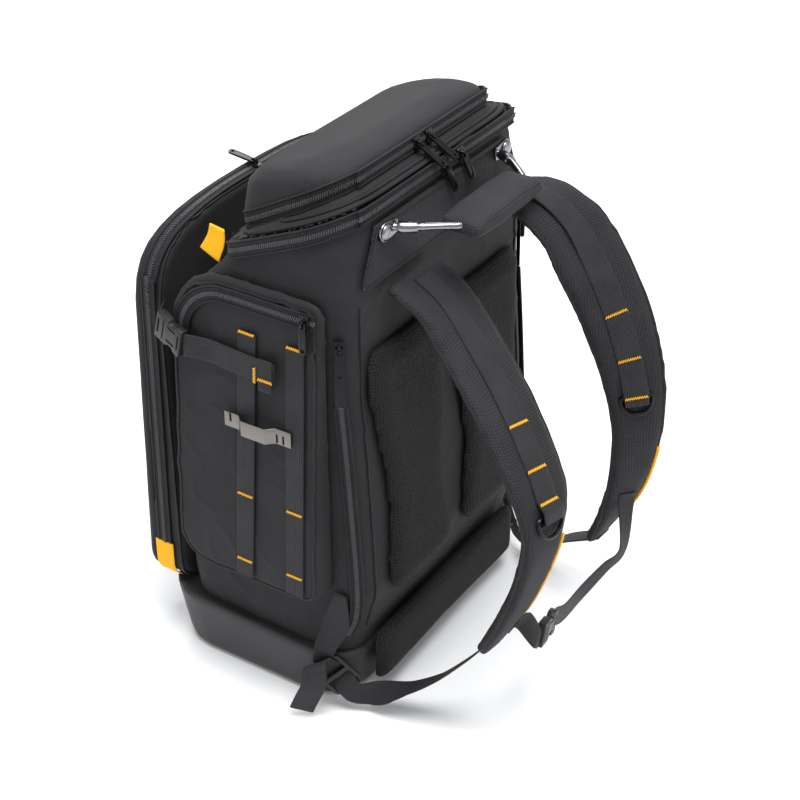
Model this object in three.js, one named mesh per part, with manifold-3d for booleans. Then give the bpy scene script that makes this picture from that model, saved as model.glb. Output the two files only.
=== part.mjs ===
import * as THREE from "three";
import { mergeVertices } from "three/addons/utils/BufferGeometryUtils.js";
import Module from "manifold-3d";

const wasm = await Module();
wasm.setup();

// Driving dimensions, in millimetres. X runs across the back, Y from the front to the back panel, Z is up,
// and the origin is the middle of the underside.
const GAP = 0.3;
const CLOTH = 2.4;
const WEBBING = 1.6;
const BODY_WIDTH = 326;
const BODY_FRONT = 96;
const BODY_BACK = 105;
const BODY_HEIGHT = 534;
const TRAY_HEIGHT = 73;
const TRAY_WALL = 3;
const TRAY_FLARE = 8;
const TRAY_TOE = 30;
const TRAY_CORNER = 46;
const LID_HEIGHT = 9;
const LID_TAPER = 24;
const DOME_HEIGHT = 20;
const DOME_FRONT_HEIGHT = 62;
const DOME_WALL = 4;
const FRONT_DEPTH = 34;
const FRONT_HEIGHT = 397;
const FRONT_LEAN = 15;
const FRONT_WALL = 3;
const SHELL_DEPTH = 15;
const SHELL_WALL = 4;
const POCKET_WIDTH = 168;
const POCKET_HEIGHT = 318;
const POCKET_TOP_DEPTH = 9;
const POCKET_BOTTOM_DEPTH = 27;
const ZIP_WIDTH = 13;
const ZIP_THICKNESS = 1.4;
const MOLLE_WIDTH = 20;
const STRAP_WEBBING_WIDTH = 25;
const STRAP_THICKNESS = 12;
const ADJUSTER_WIDTH = 25;
const LOCK_LENGTH = 42;
const LOCK_WIDTH = 34;
const LOCK_THICKNESS = 4;
const STERNUM_WIDTH = 20;
const RING_WIDTH = 36;
const RING_DROP = 27;
const RING_WIRE = 4.6;
const PAD_THICKNESS = 10;
const YOKE_THICKNESS = 4;
const RIVET_SPACING = 207;
const RIVET_RADIUS = 8;
const CABLE_DIAMETER = 7;
const HANDLE_REACH = 54;
const GRIP_LENGTH = 118;
const GRIP_WIDTH = 46;
const GRIP_THICKNESS = 17;
const PULL_LENGTH = 31;
const PULL_WIDTH = 8;
const PULL_THICKNESS = 2;

const HALF = BODY_WIDTH / 2;
const SIDES = [
  { side: "right", sign: 1 },
  { side: "left", sign: -1 },
];
const CORNER_STEPS = 4;

// Materials
const finish = (color, roughness, metalness = 0) => new THREE.MeshStandardMaterial({ color, roughness, metalness });
const nylon = finish("#37373a", 0.8);
const webbingCloth = finish("#2c2c2f", 0.75);
const mesh3d = finish("#232325", 0.9);
const moulded = finish("#38383b", 0.6);
const yellowCloth = finish("#e8b01c", 0.7);
const plastic = finish("#242427", 0.45);
const zipCloth = finish("#1d1d1f", 0.6);
const steel = finish("#b9bcbf", 0.3, 1);
const clipSteel = finish("#8a8580", 0.4, 1);
const blackMetal = finish("#3a3a3d", 0.35, 1);

const backpack = new THREE.Group();

function add(name, geometry, material) {
  const piece = new THREE.Mesh(geometry, material.clone());
  piece.name = name;
  backpack.add(piece);
}

const vector = (x, y, z) => new THREE.Vector3(x, y, z);
const mix = THREE.MathUtils.lerp;
const shift = (point, direction, amount) => point.clone().addScaledVector(direction, amount);

// A closed surface from points and triangle corners, turned so that its faces point out.
function closedSurface(points, corners) {
  let volume = 0;
  for (let i = 0; i < corners.length; i += 3) {
    const [a, b, c] = corners.slice(i, i + 3).map((k) => points[k]);
    volume += a.dot(b.clone().cross(c));
  }
  const geometry = new THREE.BufferGeometry().setFromPoints(points);
  geometry.setIndex(volume < 0 ? [...corners].reverse() : corners);
  return geometry;
}

const STRIP_CORNERS = 4;

// A skin over rings of equal length. Its ends are closed by fans, or the last ring joins the first.
// A strip's two faces are split along the same diagonal, so that it keeps its thickness where it twists.
function loft(rings, endless = false) {
  const count = rings[0].length;
  const points = rings.flat();
  const corners = [];
  for (let r = 0; r < rings.length - (endless ? 0 : 1); r++) {
    const low = r * count;
    const high = ((r + 1) % rings.length) * count;
    for (let i = 0; i < count; i++) {
      const j = (i + 1) % count;
      const other = count === STRIP_CORNERS && i === STRIP_CORNERS / 2;
      corners.push(...(other
        ? [low + i, low + j, high + i, low + j, high + j, high + i]
        : [low + i, low + j, high + j, low + i, high + j, high + i]));
    }
  }
  if (!endless) {
    const last = (rings.length - 1) * count;
    const middles = [rings[0], rings[rings.length - 1]].map((ring) =>
      ring.reduce((sum, p) => sum.add(p), vector(0, 0, 0)).divideScalar(count));
    const centre = points.length;
    points.push(...middles);
    for (let i = 0; i < count; i++) {
      const j = (i + 1) % count;
      corners.push(centre, j, i, centre + 1, last + i, last + j);
    }
  }
  return closedSurface(points, corners);
}

function toSolid(geometry) {
  const bare = geometry.clone();
  bare.deleteAttribute("normal");
  bare.deleteAttribute("uv");
  const merged = mergeVertices(bare, 1e-4);
  return new wasm.Manifold(new wasm.Mesh({
    numProp: 3,
    vertProperties: new Float32Array(merged.attributes.position.array),
    triVerts: new Uint32Array(merged.index.array),
  }));
}

function toGeometry(solid) {
  const { vertProperties, triVerts } = solid.getMesh();
  const geometry = new THREE.BufferGeometry();
  geometry.setAttribute("position", new THREE.BufferAttribute(vertProperties, 3));
  return geometry.setIndex(new THREE.BufferAttribute(triVerts, 1));
}

const joined = (...pieces) => toGeometry(pieces.map(toSolid).reduce((sum, piece) => sum.add(piece)));
const cut = (piece, ...tools) => toGeometry(tools.map(toSolid).reduce((rest, tool) => rest.subtract(tool), toSolid(piece)));
const mirrored = (points) => points.map((p) => vector(-p.x, p.y, p.z));

// One level of a bag wall: a rounded rectangle seen from above, whose height slopes from front to back.
// Its points run from the front right corner round the right side, the back and the left side.
function level(size, inset = 0) {
  const { half, front, back, cornerFront, cornerBack, zFront, zBack } = size;
  const corners = [
    { x: 1, y: front, to: 1, radius: cornerFront, from: -90 },
    { x: 1, y: back, to: -1, radius: cornerBack, from: 0 },
    { x: -1, y: back, to: -1, radius: cornerBack, from: 90 },
    { x: -1, y: front, to: 1, radius: cornerFront, from: 180 },
  ];
  return corners.flatMap((corner) => {
    const middleX = corner.x * (half - corner.radius);
    const middleY = corner.y + corner.to * corner.radius;
    const radius = Math.max(corner.radius - inset, 0.5);
    const slack = corner.radius - inset - radius;
    return Array.from({ length: CORNER_STEPS + 1 }, (_, step) => {
      const angle = THREE.MathUtils.degToRad(corner.from + (90 * step) / CORNER_STEPS);
      const x = middleX + radius * Math.cos(angle) + corner.x * slack;
      const y = middleY + radius * Math.sin(angle) - corner.to * slack;
      return vector(x, y, mix(zFront, zBack, (y - front) / (back - front)));
    });
  });
}

// A strip of constant thickness along a path. Each step gives its point, its outer direction and its width.
function strip(steps, thickness) {
  return loft(steps.map(({ at, out, across, width }) => {
    const side = across.clone().setLength(width / 2);
    const face = out.clone().setLength(thickness / 2);
    return [
      at.clone().sub(side).sub(face),
      at.clone().add(side).sub(face),
      at.clone().add(side).add(face),
      at.clone().sub(side).add(face),
    ];
  }));
}

// Steps along points on a surface whose outer directions are given.
function pathSteps(points, outs, width) {
  return points.map((at, i) => {
    const along = points[Math.min(i + 1, points.length - 1)].clone().sub(points[Math.max(i - 1, 0)]).normalize();
    const across = along.clone().cross(outs[i]).normalize();
    return { at, out: across.clone().cross(along), across, width };
  });
}

// Panel outlines lie in their own u, v plane; place turns u, v and a height into a point of the bag.
function panel(outline, place, rows) {
  const middleU = (Math.max(...outline.map((p) => p.x)) + Math.min(...outline.map((p) => p.x))) / 2;
  const middleV = (Math.max(...outline.map((p) => p.y)) + Math.min(...outline.map((p) => p.y))) / 2;
  const reachU = Math.max(...outline.map((p) => p.x)) - middleU;
  const reachV = Math.max(...outline.map((p) => p.y)) - middleV;
  return loft(rows.map(({ inset, height }) => outline.map((p) => place(
    middleU + (p.x - middleU) * (1 - inset / reachU),
    middleV + (p.y - middleV) * (1 - inset / reachV),
    height,
  ))));
}

function roundedOutline({ left, right, low, high, lowLeft, lowRight, highLeft, highRight }) {
  const shape = new THREE.Shape();
  shape.moveTo(right, low + lowRight);
  shape.lineTo(right, high - highRight);
  shape.absarc(right - highRight, high - highRight, highRight, 0, Math.PI / 2);
  shape.lineTo(left + highLeft, high);
  shape.absarc(left + highLeft, high - highLeft, highLeft, Math.PI / 2, Math.PI);
  shape.lineTo(left, low + lowLeft);
  shape.absarc(left + lowLeft, low + lowLeft, lowLeft, Math.PI, 1.5 * Math.PI);
  shape.lineTo(right - lowRight, low);
  shape.absarc(right - lowRight, low + lowRight, lowRight, 1.5 * Math.PI, 2 * Math.PI);
  return shape.getPoints(4).filter((p, i, all) => p.distanceTo(all[(i + 1) % all.length]) > 0.01);
}

// Moulded base tray
const trayLow = {
  half: HALF - 1, front: -BODY_FRONT - 22, back: BODY_BACK - 10,
  cornerFront: TRAY_CORNER, cornerBack: TRAY_CORNER, zFront: 0, zBack: 0,
};
const trayHigh = {
  ...trayLow, half: HALF + TRAY_FLARE, front: -BODY_FRONT - TRAY_TOE, back: BODY_BACK + 3.5,
  zFront: TRAY_HEIGHT, zBack: TRAY_HEIGHT - 10,
};
const TRAY_ROUND = 6;
const trayAt = (share) => Object.fromEntries(Object.keys(trayLow).map((key) =>
  [key, mix(trayLow[key], trayHigh[key], share)]));
const trayStep = { ...trayAt(TRAY_ROUND / TRAY_HEIGHT), zFront: TRAY_ROUND, zBack: TRAY_ROUND };
const trayFloor = { ...trayLow, zFront: TRAY_WALL, zBack: TRAY_WALL };
add("base_tray", loft([
  level(trayLow, TRAY_ROUND),
  level(trayStep),
  level(trayHigh),
  level(trayHigh, TRAY_WALL),
  level(trayStep, TRAY_WALL + 1),
  level(trayFloor, TRAY_ROUND + TRAY_WALL),
]), moulded);

// Fabric body. Heights are shares of BODY_HEIGHT, front and back are shares of their reaches from the middle.
const BODY_FLOOR = TRAY_WALL + GAP;
const BODY_LEVELS = [
  { zFront: 0, zBack: 0, front: 0.93, back: 0.78, width: 0.925, corner: 40 },
  { zFront: 0.14, zBack: 0.12, front: 1, back: 0.975, width: 0.985, corner: 30 },
  { zFront: 0.185, zBack: 0.175, front: 1, back: 1.04, width: 1, corner: 26 },
  { zFront: 0.26, zBack: 0.26, front: 1, back: 1.15, width: 1, corner: 26 },
  { zFront: 0.49, zBack: 0.49, front: 1, back: 1.08, width: 1, corner: 26 },
  { zFront: 0.66, zBack: 0.66, front: 1, back: 1.01, width: 1, corner: 26 },
  { zFront: 0.76, zBack: 0.8, front: 0.97, back: 1, width: 1, corner: 26 },
  { zFront: 0.79, zBack: 0.86, front: 0.76, back: 1, width: 1, corner: 30 },
  { zFront: 0.865, zBack: 0.97, front: 0.36, back: 0.96, width: 0.99, corner: 52 },
  { zFront: 0.893, zBack: 1, front: 0.36, back: 0.96, width: 0.99, corner: 52 },
];
const bodyLevel = ({ zFront, zBack, front, back, width, corner }) => ({
  half: HALF * width,
  front: -BODY_FRONT * front,
  back: BODY_BACK * back,
  cornerFront: Math.min(corner, 30),
  cornerBack: corner,
  zFront: mix(BODY_FLOOR, BODY_HEIGHT, zFront),
  zBack: mix(BODY_FLOOR, BODY_HEIGHT, zBack),
});
const bodyLevels = BODY_LEVELS.map(bodyLevel);
const rim = bodyLevels[bodyLevels.length - 1];
const bodyInside = bodyLevels.slice(1).reverse().map((size) => level(size, CLOTH));
const floorInside = { ...bodyLevels[0], zFront: BODY_FLOOR + CLOTH, zBack: BODY_FLOOR + CLOTH };
add("main_body", loft([...bodyLevels.map((size) => level(size)), ...bodyInside, level(floorInside, CLOTH)]), nylon);

// The back panel's reach at a height, for what lies on it.
function backAt(z) {
  const above = Math.max(1, bodyLevels.findIndex((size) => size.zBack >= z));
  const [low, high] = [bodyLevels[above - 1], bodyLevels[above]];
  return mix(low.back, high.back, (z - low.zBack) / (high.zBack - low.zBack));
}

// Lid: a wedge gusset that is thin in front and deep behind, with a flat top under the dome
const lidLow = { ...rim, zFront: rim.zFront + GAP, zBack: rim.zBack + GAP };
const lidHigh = {
  ...rim, half: rim.half - LID_TAPER, front: rim.front + 2, back: rim.back - 17,
  cornerBack: 48, zFront: rim.zFront + 3, zBack: rim.zBack + LID_HEIGHT,
};
const lowered = (size, drop) => ({ ...size, zFront: size.zFront - drop, zBack: size.zBack - drop });
add("main_lid", loft([
  level(lowered(lidHigh, CLOTH), CLOTH + 2),
  level(lidLow, CLOTH),
  level(lidLow),
  level(lidHigh),
]), nylon);

// Moulded dome on the lid
const domeFoot = lowered(lidHigh, -GAP);
const domeBand = { ...domeFoot, zFront: domeFoot.zFront + ZIP_WIDTH, zBack: domeFoot.zBack + ZIP_WIDTH };
const DOME_LEVELS = [
  { rise: 0.74, riseBack: 0.8, inset: 4 },
  { rise: 0.93, riseBack: 0.95, inset: 14 },
  { rise: 1, riseBack: 1, inset: 34 },
];
const domeLevel = ({ rise, riseBack, inset }) => ({
  ...domeFoot,
  half: domeFoot.half - inset,
  front: domeFoot.front + inset * 0.8,
  back: domeFoot.back - inset * 0.9,
  cornerFront: domeFoot.cornerFront + inset / 3,
  cornerBack: domeFoot.cornerBack + inset / 4,
  zFront: domeFoot.zFront + DOME_FRONT_HEIGHT * rise,
  zBack: domeFoot.zBack + DOME_HEIGHT * riseBack,
});
const domeLevels = [domeFoot, domeBand, ...DOME_LEVELS.map(domeLevel)];
const domeInside = domeLevels.slice(1).reverse().map((size) => level(lowered(size, DOME_WALL), DOME_WALL));
add("lid_dome", loft([...domeInside, level(domeFoot, DOME_WALL), ...domeLevels.map((size) => level(size))]), moulded);

const BAND_GAP = 3 * GAP;

// A zip band that runs along a level from its front right to its front left corner.
function bandAround(size, drop) {
  const first = CORNER_STEPS - 1;
  const last = 3 * (CORNER_STEPS + 1) + 1;
  const ring = level(size);
  const outside = level(size, -1);
  const range = ring.slice(first, last + 1);
  const outs = range.map((p, i) => vector(outside[first + i].x - p.x, outside[first + i].y - p.y, 0).normalize());
  const centre = range.map((p, i) => shift(p, outs[i], BAND_GAP + ZIP_THICKNESS / 2).add(vector(0, 0, -drop)));
  return pathSteps(centre, outs, ZIP_WIDTH);
}

// Zip sliders and pulls. In their own frame X is the hinge axis, Y runs down the pull and Z points out.
const HINGE_RISE = 1.9;
const ARCH = 1.5;
const SLIDER = { width: 9, length: 15, thickness: 3 };
const hingeFrames = {};

function hingeMatrix(at, down, out) {
  const side = down.clone().cross(out).normalize();
  const face = side.clone().cross(down).normalize();
  return new THREE.Matrix4().makeBasis(side, down.clone().normalize(), face).setPosition(at);
}

const tube = (outline, holes, depth) => {
  const shape = new THREE.Shape(outline);
  shape.holes = holes.map((hole) => new THREE.Path(hole));
  return new THREE.ExtrudeGeometry(shape, { depth, bevelEnabled: false }).translate(0, 0, -depth / 2);
};
const flat = (x, y) => new THREE.Vector2(x, y);
const box2 = (left, right, low, high) => [flat(left, low), flat(right, low), flat(right, high), flat(left, high)];
const arc2 = (radius, from, to, steps) => Array.from({ length: steps + 1 }, (_, i) => {
  const angle = mix(from, to, i / steps);
  return flat(radius * Math.cos(angle), radius * Math.sin(angle));
});

function sliderGeometry(at, face, down) {
  const frame = hingeMatrix(at, shift(down, face, -down.dot(face)).normalize(), face);
  const plate = tube(box2(-SLIDER.width / 2, SLIDER.width / 2, -SLIDER.length / 2, SLIDER.length / 2), [], SLIDER.thickness)
    .translate(0, 0, -HINGE_RISE - SLIDER.thickness / 2);
  const outer = HINGE_RISE + ARCH;
  const foot = -HINGE_RISE - 1;
  const profile = [
    ...arc2(outer, 0, Math.PI, 6), flat(-outer, foot), flat(-HINGE_RISE, foot),
    ...arc2(HINGE_RISE, Math.PI, 0, 6), flat(HINGE_RISE, foot), flat(outer, foot),
  ];
  const arch = tube(profile, [], 2.4).applyMatrix4(new THREE.Matrix4().makeBasis(
    vector(0, 1, 0), vector(0, 0, 1), vector(1, 0, 0)));
  return joined(plate, arch).applyMatrix4(frame);
}

function pullGeometry(frame) {
  const wide = PULL_WIDTH / 2;
  const narrow = 3.5;
  const outline = [
    flat(-narrow, -1), flat(narrow, -1), flat(narrow, 7), flat(wide, 10),
    ...arc2(wide, 0, Math.PI, 6).map((p) => flat(p.x, p.y + PULL_LENGTH - wide)), flat(-wide, 10), flat(-narrow, 7),
  ];
  const window2 = box2(-1.8, 1.8, 1, 4.2);
  const cordHole = arc2(1.9, 0, 1.75 * Math.PI, 7).map((p) => flat(p.x, p.y + PULL_LENGTH - wide - 0.5));
  return tube(outline, [window2, cordHole], PULL_THICKNESS).applyMatrix4(frame);
}

// A slider on a band at a step, with its pull turned to hang down the given way.
function zipWithPulls(name, steps, pulls, material) {
  const pieces = [strip(steps, ZIP_THICKNESS)];
  for (const { pull, at, down, out, face } of pulls) {
    const hinge = shift(at, face, ZIP_THICKNESS / 2 + SLIDER.thickness + HINGE_RISE - 0.6);
    const frame = hingeMatrix(hinge, down, out);
    hingeFrames[pull] = frame;
    pieces.push(sliderGeometry(hinge, face, down));
    add(pull, pullGeometry(frame), blackMetal);
  }
  add(name, joined(...pieces), material);
}

const BAND_DROP = ZIP_WIDTH / 2 + 0.5;
const rimBand = bandAround(rim, BAND_DROP);
const domeZipBand = bandAround(domeFoot, -BAND_DROP - GAP);

// The two sliders of a zip meet at the back, about a middle x. Their pulls lean out and to the side by angles.
function backPulls(steps, name, { middle, spread, lean, skew }) {
  const back = steps[Math.floor(steps.length / 2)].at;
  return SIDES.map(({ side, sign }) => ({
    pull: name + side,
    at: vector(middle + sign * spread, back.y, back.z),
    face: vector(0, 1, 0),
    down: vector(-Math.sin(skew), Math.sin(lean) * Math.cos(skew), -Math.cos(lean) * Math.cos(skew)),
    out: vector(0, Math.cos(lean), Math.sin(lean)),
  }));
}

const lidPulls = backPulls(rimBand, "lid_pull_", { middle: -14, spread: 15, lean: 0.14, skew: 0.4 });
const domePulls = backPulls(domeZipBand, "dome_pull_", { middle: 9, spread: 10, lean: 0.94, skew: 0.15 });
zipWithPulls("lid_zip", rimBand, lidPulls, zipCloth);
zipWithPulls("dome_zip", domeZipBand, domePulls, zipCloth);

// Front compartment: a fabric frame between the body and a moulded shell, with an arched top
const FRONT_LOW = TRAY_HEIGHT + 2;
const FRONT_SHOULDER = 74;
const FRONT_CORNER = 24;
const frontHalf = HALF + 1;
const frontTop = FRONT_LOW + FRONT_HEIGHT;

function frontOutline() {
  const shape = new THREE.Shape();
  shape.moveTo(frontHalf, FRONT_LOW + FRONT_CORNER);
  shape.lineTo(frontHalf, frontTop - FRONT_SHOULDER);
  shape.bezierCurveTo(frontHalf, frontTop - 0.14 * FRONT_SHOULDER, 0.7 * frontHalf, frontTop, 0, frontTop);
  shape.bezierCurveTo(-0.7 * frontHalf, frontTop, -frontHalf, frontTop - 0.14 * FRONT_SHOULDER,
    -frontHalf, frontTop - FRONT_SHOULDER);
  shape.lineTo(-frontHalf, FRONT_LOW + FRONT_CORNER);
  shape.absarc(FRONT_CORNER - frontHalf, FRONT_LOW + FRONT_CORNER, FRONT_CORNER, Math.PI, 1.5 * Math.PI);
  shape.lineTo(frontHalf - FRONT_CORNER, FRONT_LOW);
  shape.absarc(frontHalf - FRONT_CORNER, FRONT_LOW + FRONT_CORNER, FRONT_CORNER, 1.5 * Math.PI, 2 * Math.PI);
  return shape.getPoints(8).filter((p, i, all) => p.distanceTo(all[(i + 1) % all.length]) > 0.01);
}

const front2 = frontOutline();
const frontBack = -BODY_FRONT - GAP;
const frontEdge = frontBack - FRONT_DEPTH;
const leanAt = (z) => FRONT_LEAN * Math.max(0, (z - FRONT_LOW) / FRONT_HEIGHT) ** 2;
const frontPlace = (u, v, height) => vector(u, leanAt(v) - height, v);
const frameRing = (inset, y, lean) => {
  const reachV = (frontTop - FRONT_LOW) / 2;
  const middleV = FRONT_LOW + reachV;
  return front2.map((p) => {
    const z = middleV + (p.y - middleV) * (1 - inset / reachV);
    return vector(p.x * (1 - inset / frontHalf), y + lean * leanAt(z), z);
  });
};
add("front_gusset", loft([
  frameRing(0, frontBack, 0), frameRing(0, frontEdge, 1), frameRing(FRONT_WALL, frontEdge, 1),
  frameRing(FRONT_WALL, frontBack, 0),
], true), nylon);

const shellBack = -frontEdge + GAP;
add("front_shell", panel(front2, frontPlace, [
  { inset: 12, height: shellBack + SHELL_DEPTH - SHELL_WALL },
  { inset: SHELL_WALL + 1, height: shellBack + SHELL_DEPTH * 0.45 },
  { inset: SHELL_WALL, height: shellBack },
  { inset: 0, height: shellBack },
  { inset: 0, height: shellBack + SHELL_DEPTH * 0.45 },
  { inset: 4, height: shellBack + SHELL_DEPTH * 0.8 },
  { inset: 12, height: shellBack + SHELL_DEPTH },
]), moulded);

const PATCH = { depth: 22, height: 47, from: 0.3 };
const zipOutline = [flat(frontHalf, FRONT_LOW + PATCH.height + GAP), ...front2.slice(1, 18)];
const zipRows = zipOutline.map((p, i, all) => {
  const next = all[Math.min(i + 1, all.length - 1)];
  const before = all[Math.max(i - 1, 0)];
  const out = vector(next.y - before.y, 0, before.x - next.x).normalize();
  return { at: shift(vector(p.x, mix(frontBack, frontEdge + leanAt(p.y), 0.62), p.y), out, GAP + ZIP_THICKNESS / 2), out };
});
const frontZip = pathSteps(zipRows.map((row) => row.at), zipRows.map((row) => row.out), ZIP_WIDTH);
const frontTopStep = frontZip[9];
zipWithPulls("front_zip", frontZip, [{
  pull: "front_pull",
  at: frontTopStep.at,
  face: vector(0, 0, 1),
  down: vector(0, -1, 0.12),
  out: vector(0, 0.12, 1),
}], zipCloth);

// Side pockets, each an open bowl against the body side
const POCKET_LEFT = -80;
const POCKET_LOW = 138;
const pocketOutline = roundedOutline({
  left: POCKET_LEFT, right: POCKET_LEFT + POCKET_WIDTH, low: POCKET_LOW, high: POCKET_LOW + POCKET_HEIGHT,
  lowLeft: 34, lowRight: 20, highLeft: 62, highRight: 16,
});
const ARCH_INSET = 16;
const ARCH_RADIUS = 50;
const ARCH_LEFT = POCKET_LEFT + ARCH_INSET;
const ARCH_RIGHT = POCKET_LEFT + POCKET_WIDTH - 6;
const ARCH_TOP = POCKET_LOW + POCKET_HEIGHT - ARCH_INSET;
const ARCH_LOW = ARCH_TOP - 74;
const pocketDepth = (z) => mix(POCKET_BOTTOM_DEPTH, POCKET_TOP_DEPTH, (z - POCKET_LOW) / POCKET_HEIGHT);
const pocketX = (z) => HALF + GAP + pocketDepth(z);

for (const { side, sign } of SIDES) {
  const place = (u, v, height) => vector(sign * (HALF + GAP + pocketDepth(v) * height), u, v);
  const inner = (POCKET_TOP_DEPTH - CLOTH) / POCKET_TOP_DEPTH;
  add("side_pocket_" + side, panel(pocketOutline, place, [
    { inset: 9, height: inner },
    { inset: CLOTH + 1, height: inner * 0.6 },
    { inset: CLOTH, height: 0 },
    { inset: 0, height: 0 },
    { inset: 0, height: 0.6 },
    { inset: 2.5, height: 0.85 },
    { inset: 8, height: 1 },
  ]), nylon);

  // The pocket's zip runs along the top from its rear end, round the front corner and a little way down.
  const turn = arc2(ARCH_RADIUS, Math.PI / 2, Math.PI, 5).map((p) => flat(
    ARCH_LEFT + ARCH_RADIUS + p.x, ARCH_TOP - ARCH_RADIUS + p.y));
  const rear = [ARCH_RIGHT, mix(ARCH_RIGHT, turn[0].x, 0.5)].map((y) => flat(y, ARCH_TOP));
  const zipLine = [...rear, ...turn, flat(ARCH_LEFT, ARCH_LOW)];
  const outs = zipLine.map(() => vector(sign, 0, 0));
  const zipPath = zipLine.map((p) => vector(sign * (pocketX(p.y) + GAP + ZIP_THICKNESS / 2 + 0.1), p.x, p.y));
  zipWithPulls("pocket_zip_" + side, pathSteps(zipPath, outs, ZIP_WIDTH), [{
    pull: "pocket_pull_" + side,
    at: vector(zipPath[0].x, ARCH_RIGHT - SLIDER.width, ARCH_TOP),
    face: vector(sign, 0, 0),
    down: vector(0, 0, -1),
    out: vector(sign, 0, 0),
  }], zipCloth);
}

// Gusset zips that run down the rounded edges between the sides and the back panel
const GUSSET_TURN = THREE.MathUtils.degToRad(38);
const GUSSET_HEIGHTS = [0.79, 0.66, 0.49, 0.26, 0.178];

function edgeAt(height, turn, rise) {
  const z = height * BODY_HEIGHT;
  const { corner } = BODY_LEVELS[3];
  const reach = corner + rise;
  return vector(HALF - corner + reach * Math.cos(turn), backAt(z) - corner + reach * Math.sin(turn), z);
}

for (const { side, sign } of SIDES) {
  const zipPath = GUSSET_HEIGHTS.map((height) => edgeAt(height, GUSSET_TURN, GAP + ZIP_THICKNESS / 2 + 0.9));
  const outs = zipPath.map(() => vector(Math.cos(GUSSET_TURN), Math.sin(GUSSET_TURN), 0));
  const turned = (point) => vector(sign * point.x, point.y, point.z);
  const face = turned(outs[0]);
  zipWithPulls("gusset_zip_" + side, pathSteps(zipPath.map(turned), outs.map(turned), ZIP_WIDTH - 3), [{
    pull: "gusset_pull_" + side,
    at: shift(turned(zipPath[0]), vector(0, 0, -1), SLIDER.length / 2),
    face,
    down: vector(0, 0, -1),
    out: face,
  }], zipCloth);
}

// Webbing columns on the side pockets, sewn flat
const MOLLE_COLUMNS = [
  { column: "front", top: 10, foot: 4 },
  { column: "rear", top: 62, foot: 62 },
];
const onPocket = (sign, y, z, rise) => vector(sign * (pocketX(z) + GAP + rise), y, z);
const MOLLE_TOP = POCKET_LOW + POCKET_HEIGHT - 46;
const MOLLE_FOOT = POCKET_LOW + 10;
for (const { side, sign } of SIDES) {
  for (const { column, top, foot } of MOLLE_COLUMNS) {
    const path = [[top, MOLLE_TOP], [foot, MOLLE_FOOT]].map(([y, z]) => onPocket(sign, y, z, WEBBING / 2 + 0.2));
    const outs = path.map(() => vector(sign, 0, 0));
    add("molle_" + column + "_" + side, strip(pathSteps(path, outs, MOLLE_WIDTH), WEBBING), webbingCloth);
  }
}

// Steel tape clip on the webbing columns: a strip bent outwards in the middle
const CLIP = { from: -14, to: 60, height: 16, z: 318, thickness: 1.8, rise: 7 };
const clipBase = WEBBING + 0.2 + GAP + CLIP.thickness;
const clipSteps = [
  { share: 0, rise: 0 }, { share: 0.22, rise: 0 }, { share: 0.32, rise: 1 },
  { share: 0.68, rise: 1 }, { share: 0.78, rise: 0 }, { share: 1, rise: 0 },
].map(({ share, rise }) => onPocket(1, mix(CLIP.from, CLIP.to, share), CLIP.z, clipBase + rise * CLIP.rise));
add("tape_clip", strip(clipSteps.map((at) => ({
  at, out: vector(1, 0, 0), across: vector(0, 0, 1), width: CLIP.height,
})), CLIP.thickness), clipSteel);

// Side release buckle with its plug in, on the compression strap over the right pocket's front edge
const BUCKLE = { length: 36, width: 30, thickness: 8, waist: 24, x: 182.6, y: -72, z: 388 };
const STACK = GAP + 0.2 + WEBBING;
const buckleAlong = vector(0.24, 0.93, -0.28).normalize();
const buckleOut = vector(0.97, -0.24, 0);
const buckleFrame = hingeMatrix(vector(BUCKLE.x, BUCKLE.y, BUCKLE.z), buckleAlong, buckleOut);

function buckleGeometry({ length, width, thickness, waist }, frame) {
  const end = length / 2;
  const outline = [
    flat(-width / 2, -end), flat(width / 2, -end), flat(width / 2, -0.1 * end), flat(waist / 2, 0.1 * end),
    flat(waist / 2, 0.4 * end), flat(width / 2, 0.55 * end), flat(width / 2, end), flat(-width / 2, end),
    flat(-width / 2, 0.55 * end), flat(-waist / 2, 0.4 * end), flat(-waist / 2, 0.1 * end), flat(-width / 2, -0.1 * end),
  ];
  return tube(outline, [], thickness).applyMatrix4(frame);
}
add("side_buckle", buckleGeometry(BUCKLE, buckleFrame), plastic);

const buckleEnd = (end) => vector(0, end * (BUCKLE.length / 2 + GAP + 0.5), 0).applyMatrix4(buckleFrame);
const STRAP_TURN = 0.25;
const strapSteps = (points) => points.map((at) => ({
  at, out: vector(1, 0, 0), across: vector(0, STRAP_TURN, 1), width: ADJUSTER_WIDTH,
}));
const strapRoot = buckleEnd(-1);
add("compression_strap_front", strip(strapSteps([
  vector(HALF + GAP + WEBBING, -BODY_FRONT + 1, strapRoot.z + 3),
  strapRoot,
]), WEBBING), webbingCloth);
const STRAP_END = 42;
const strapRise = STACK + GAP + WEBBING / 2;
add("compression_strap_rear", strip(strapSteps([buckleEnd(1), ...[-30, -8, 15, STRAP_END].map((y) => {
  const z = buckleEnd(1).z - 0.06 * (y + 50);
  return onPocket(1, y, z, strapRise + ADJUSTER_WIDTH * 0.03);
})]), WEBBING), webbingCloth);
add("tape_loop", strip([16, 0, -16].map((rise) => {
  const z = buckleEnd(1).z - 6 + rise;
  return {
    at: onPocket(1, STRAP_END - 8, z, strapRise + WEBBING + 2), out: vector(1, 0, 0), across: vector(0, 1, 0), width: 15,
  };
}), WEBBING), webbingCloth);

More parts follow.
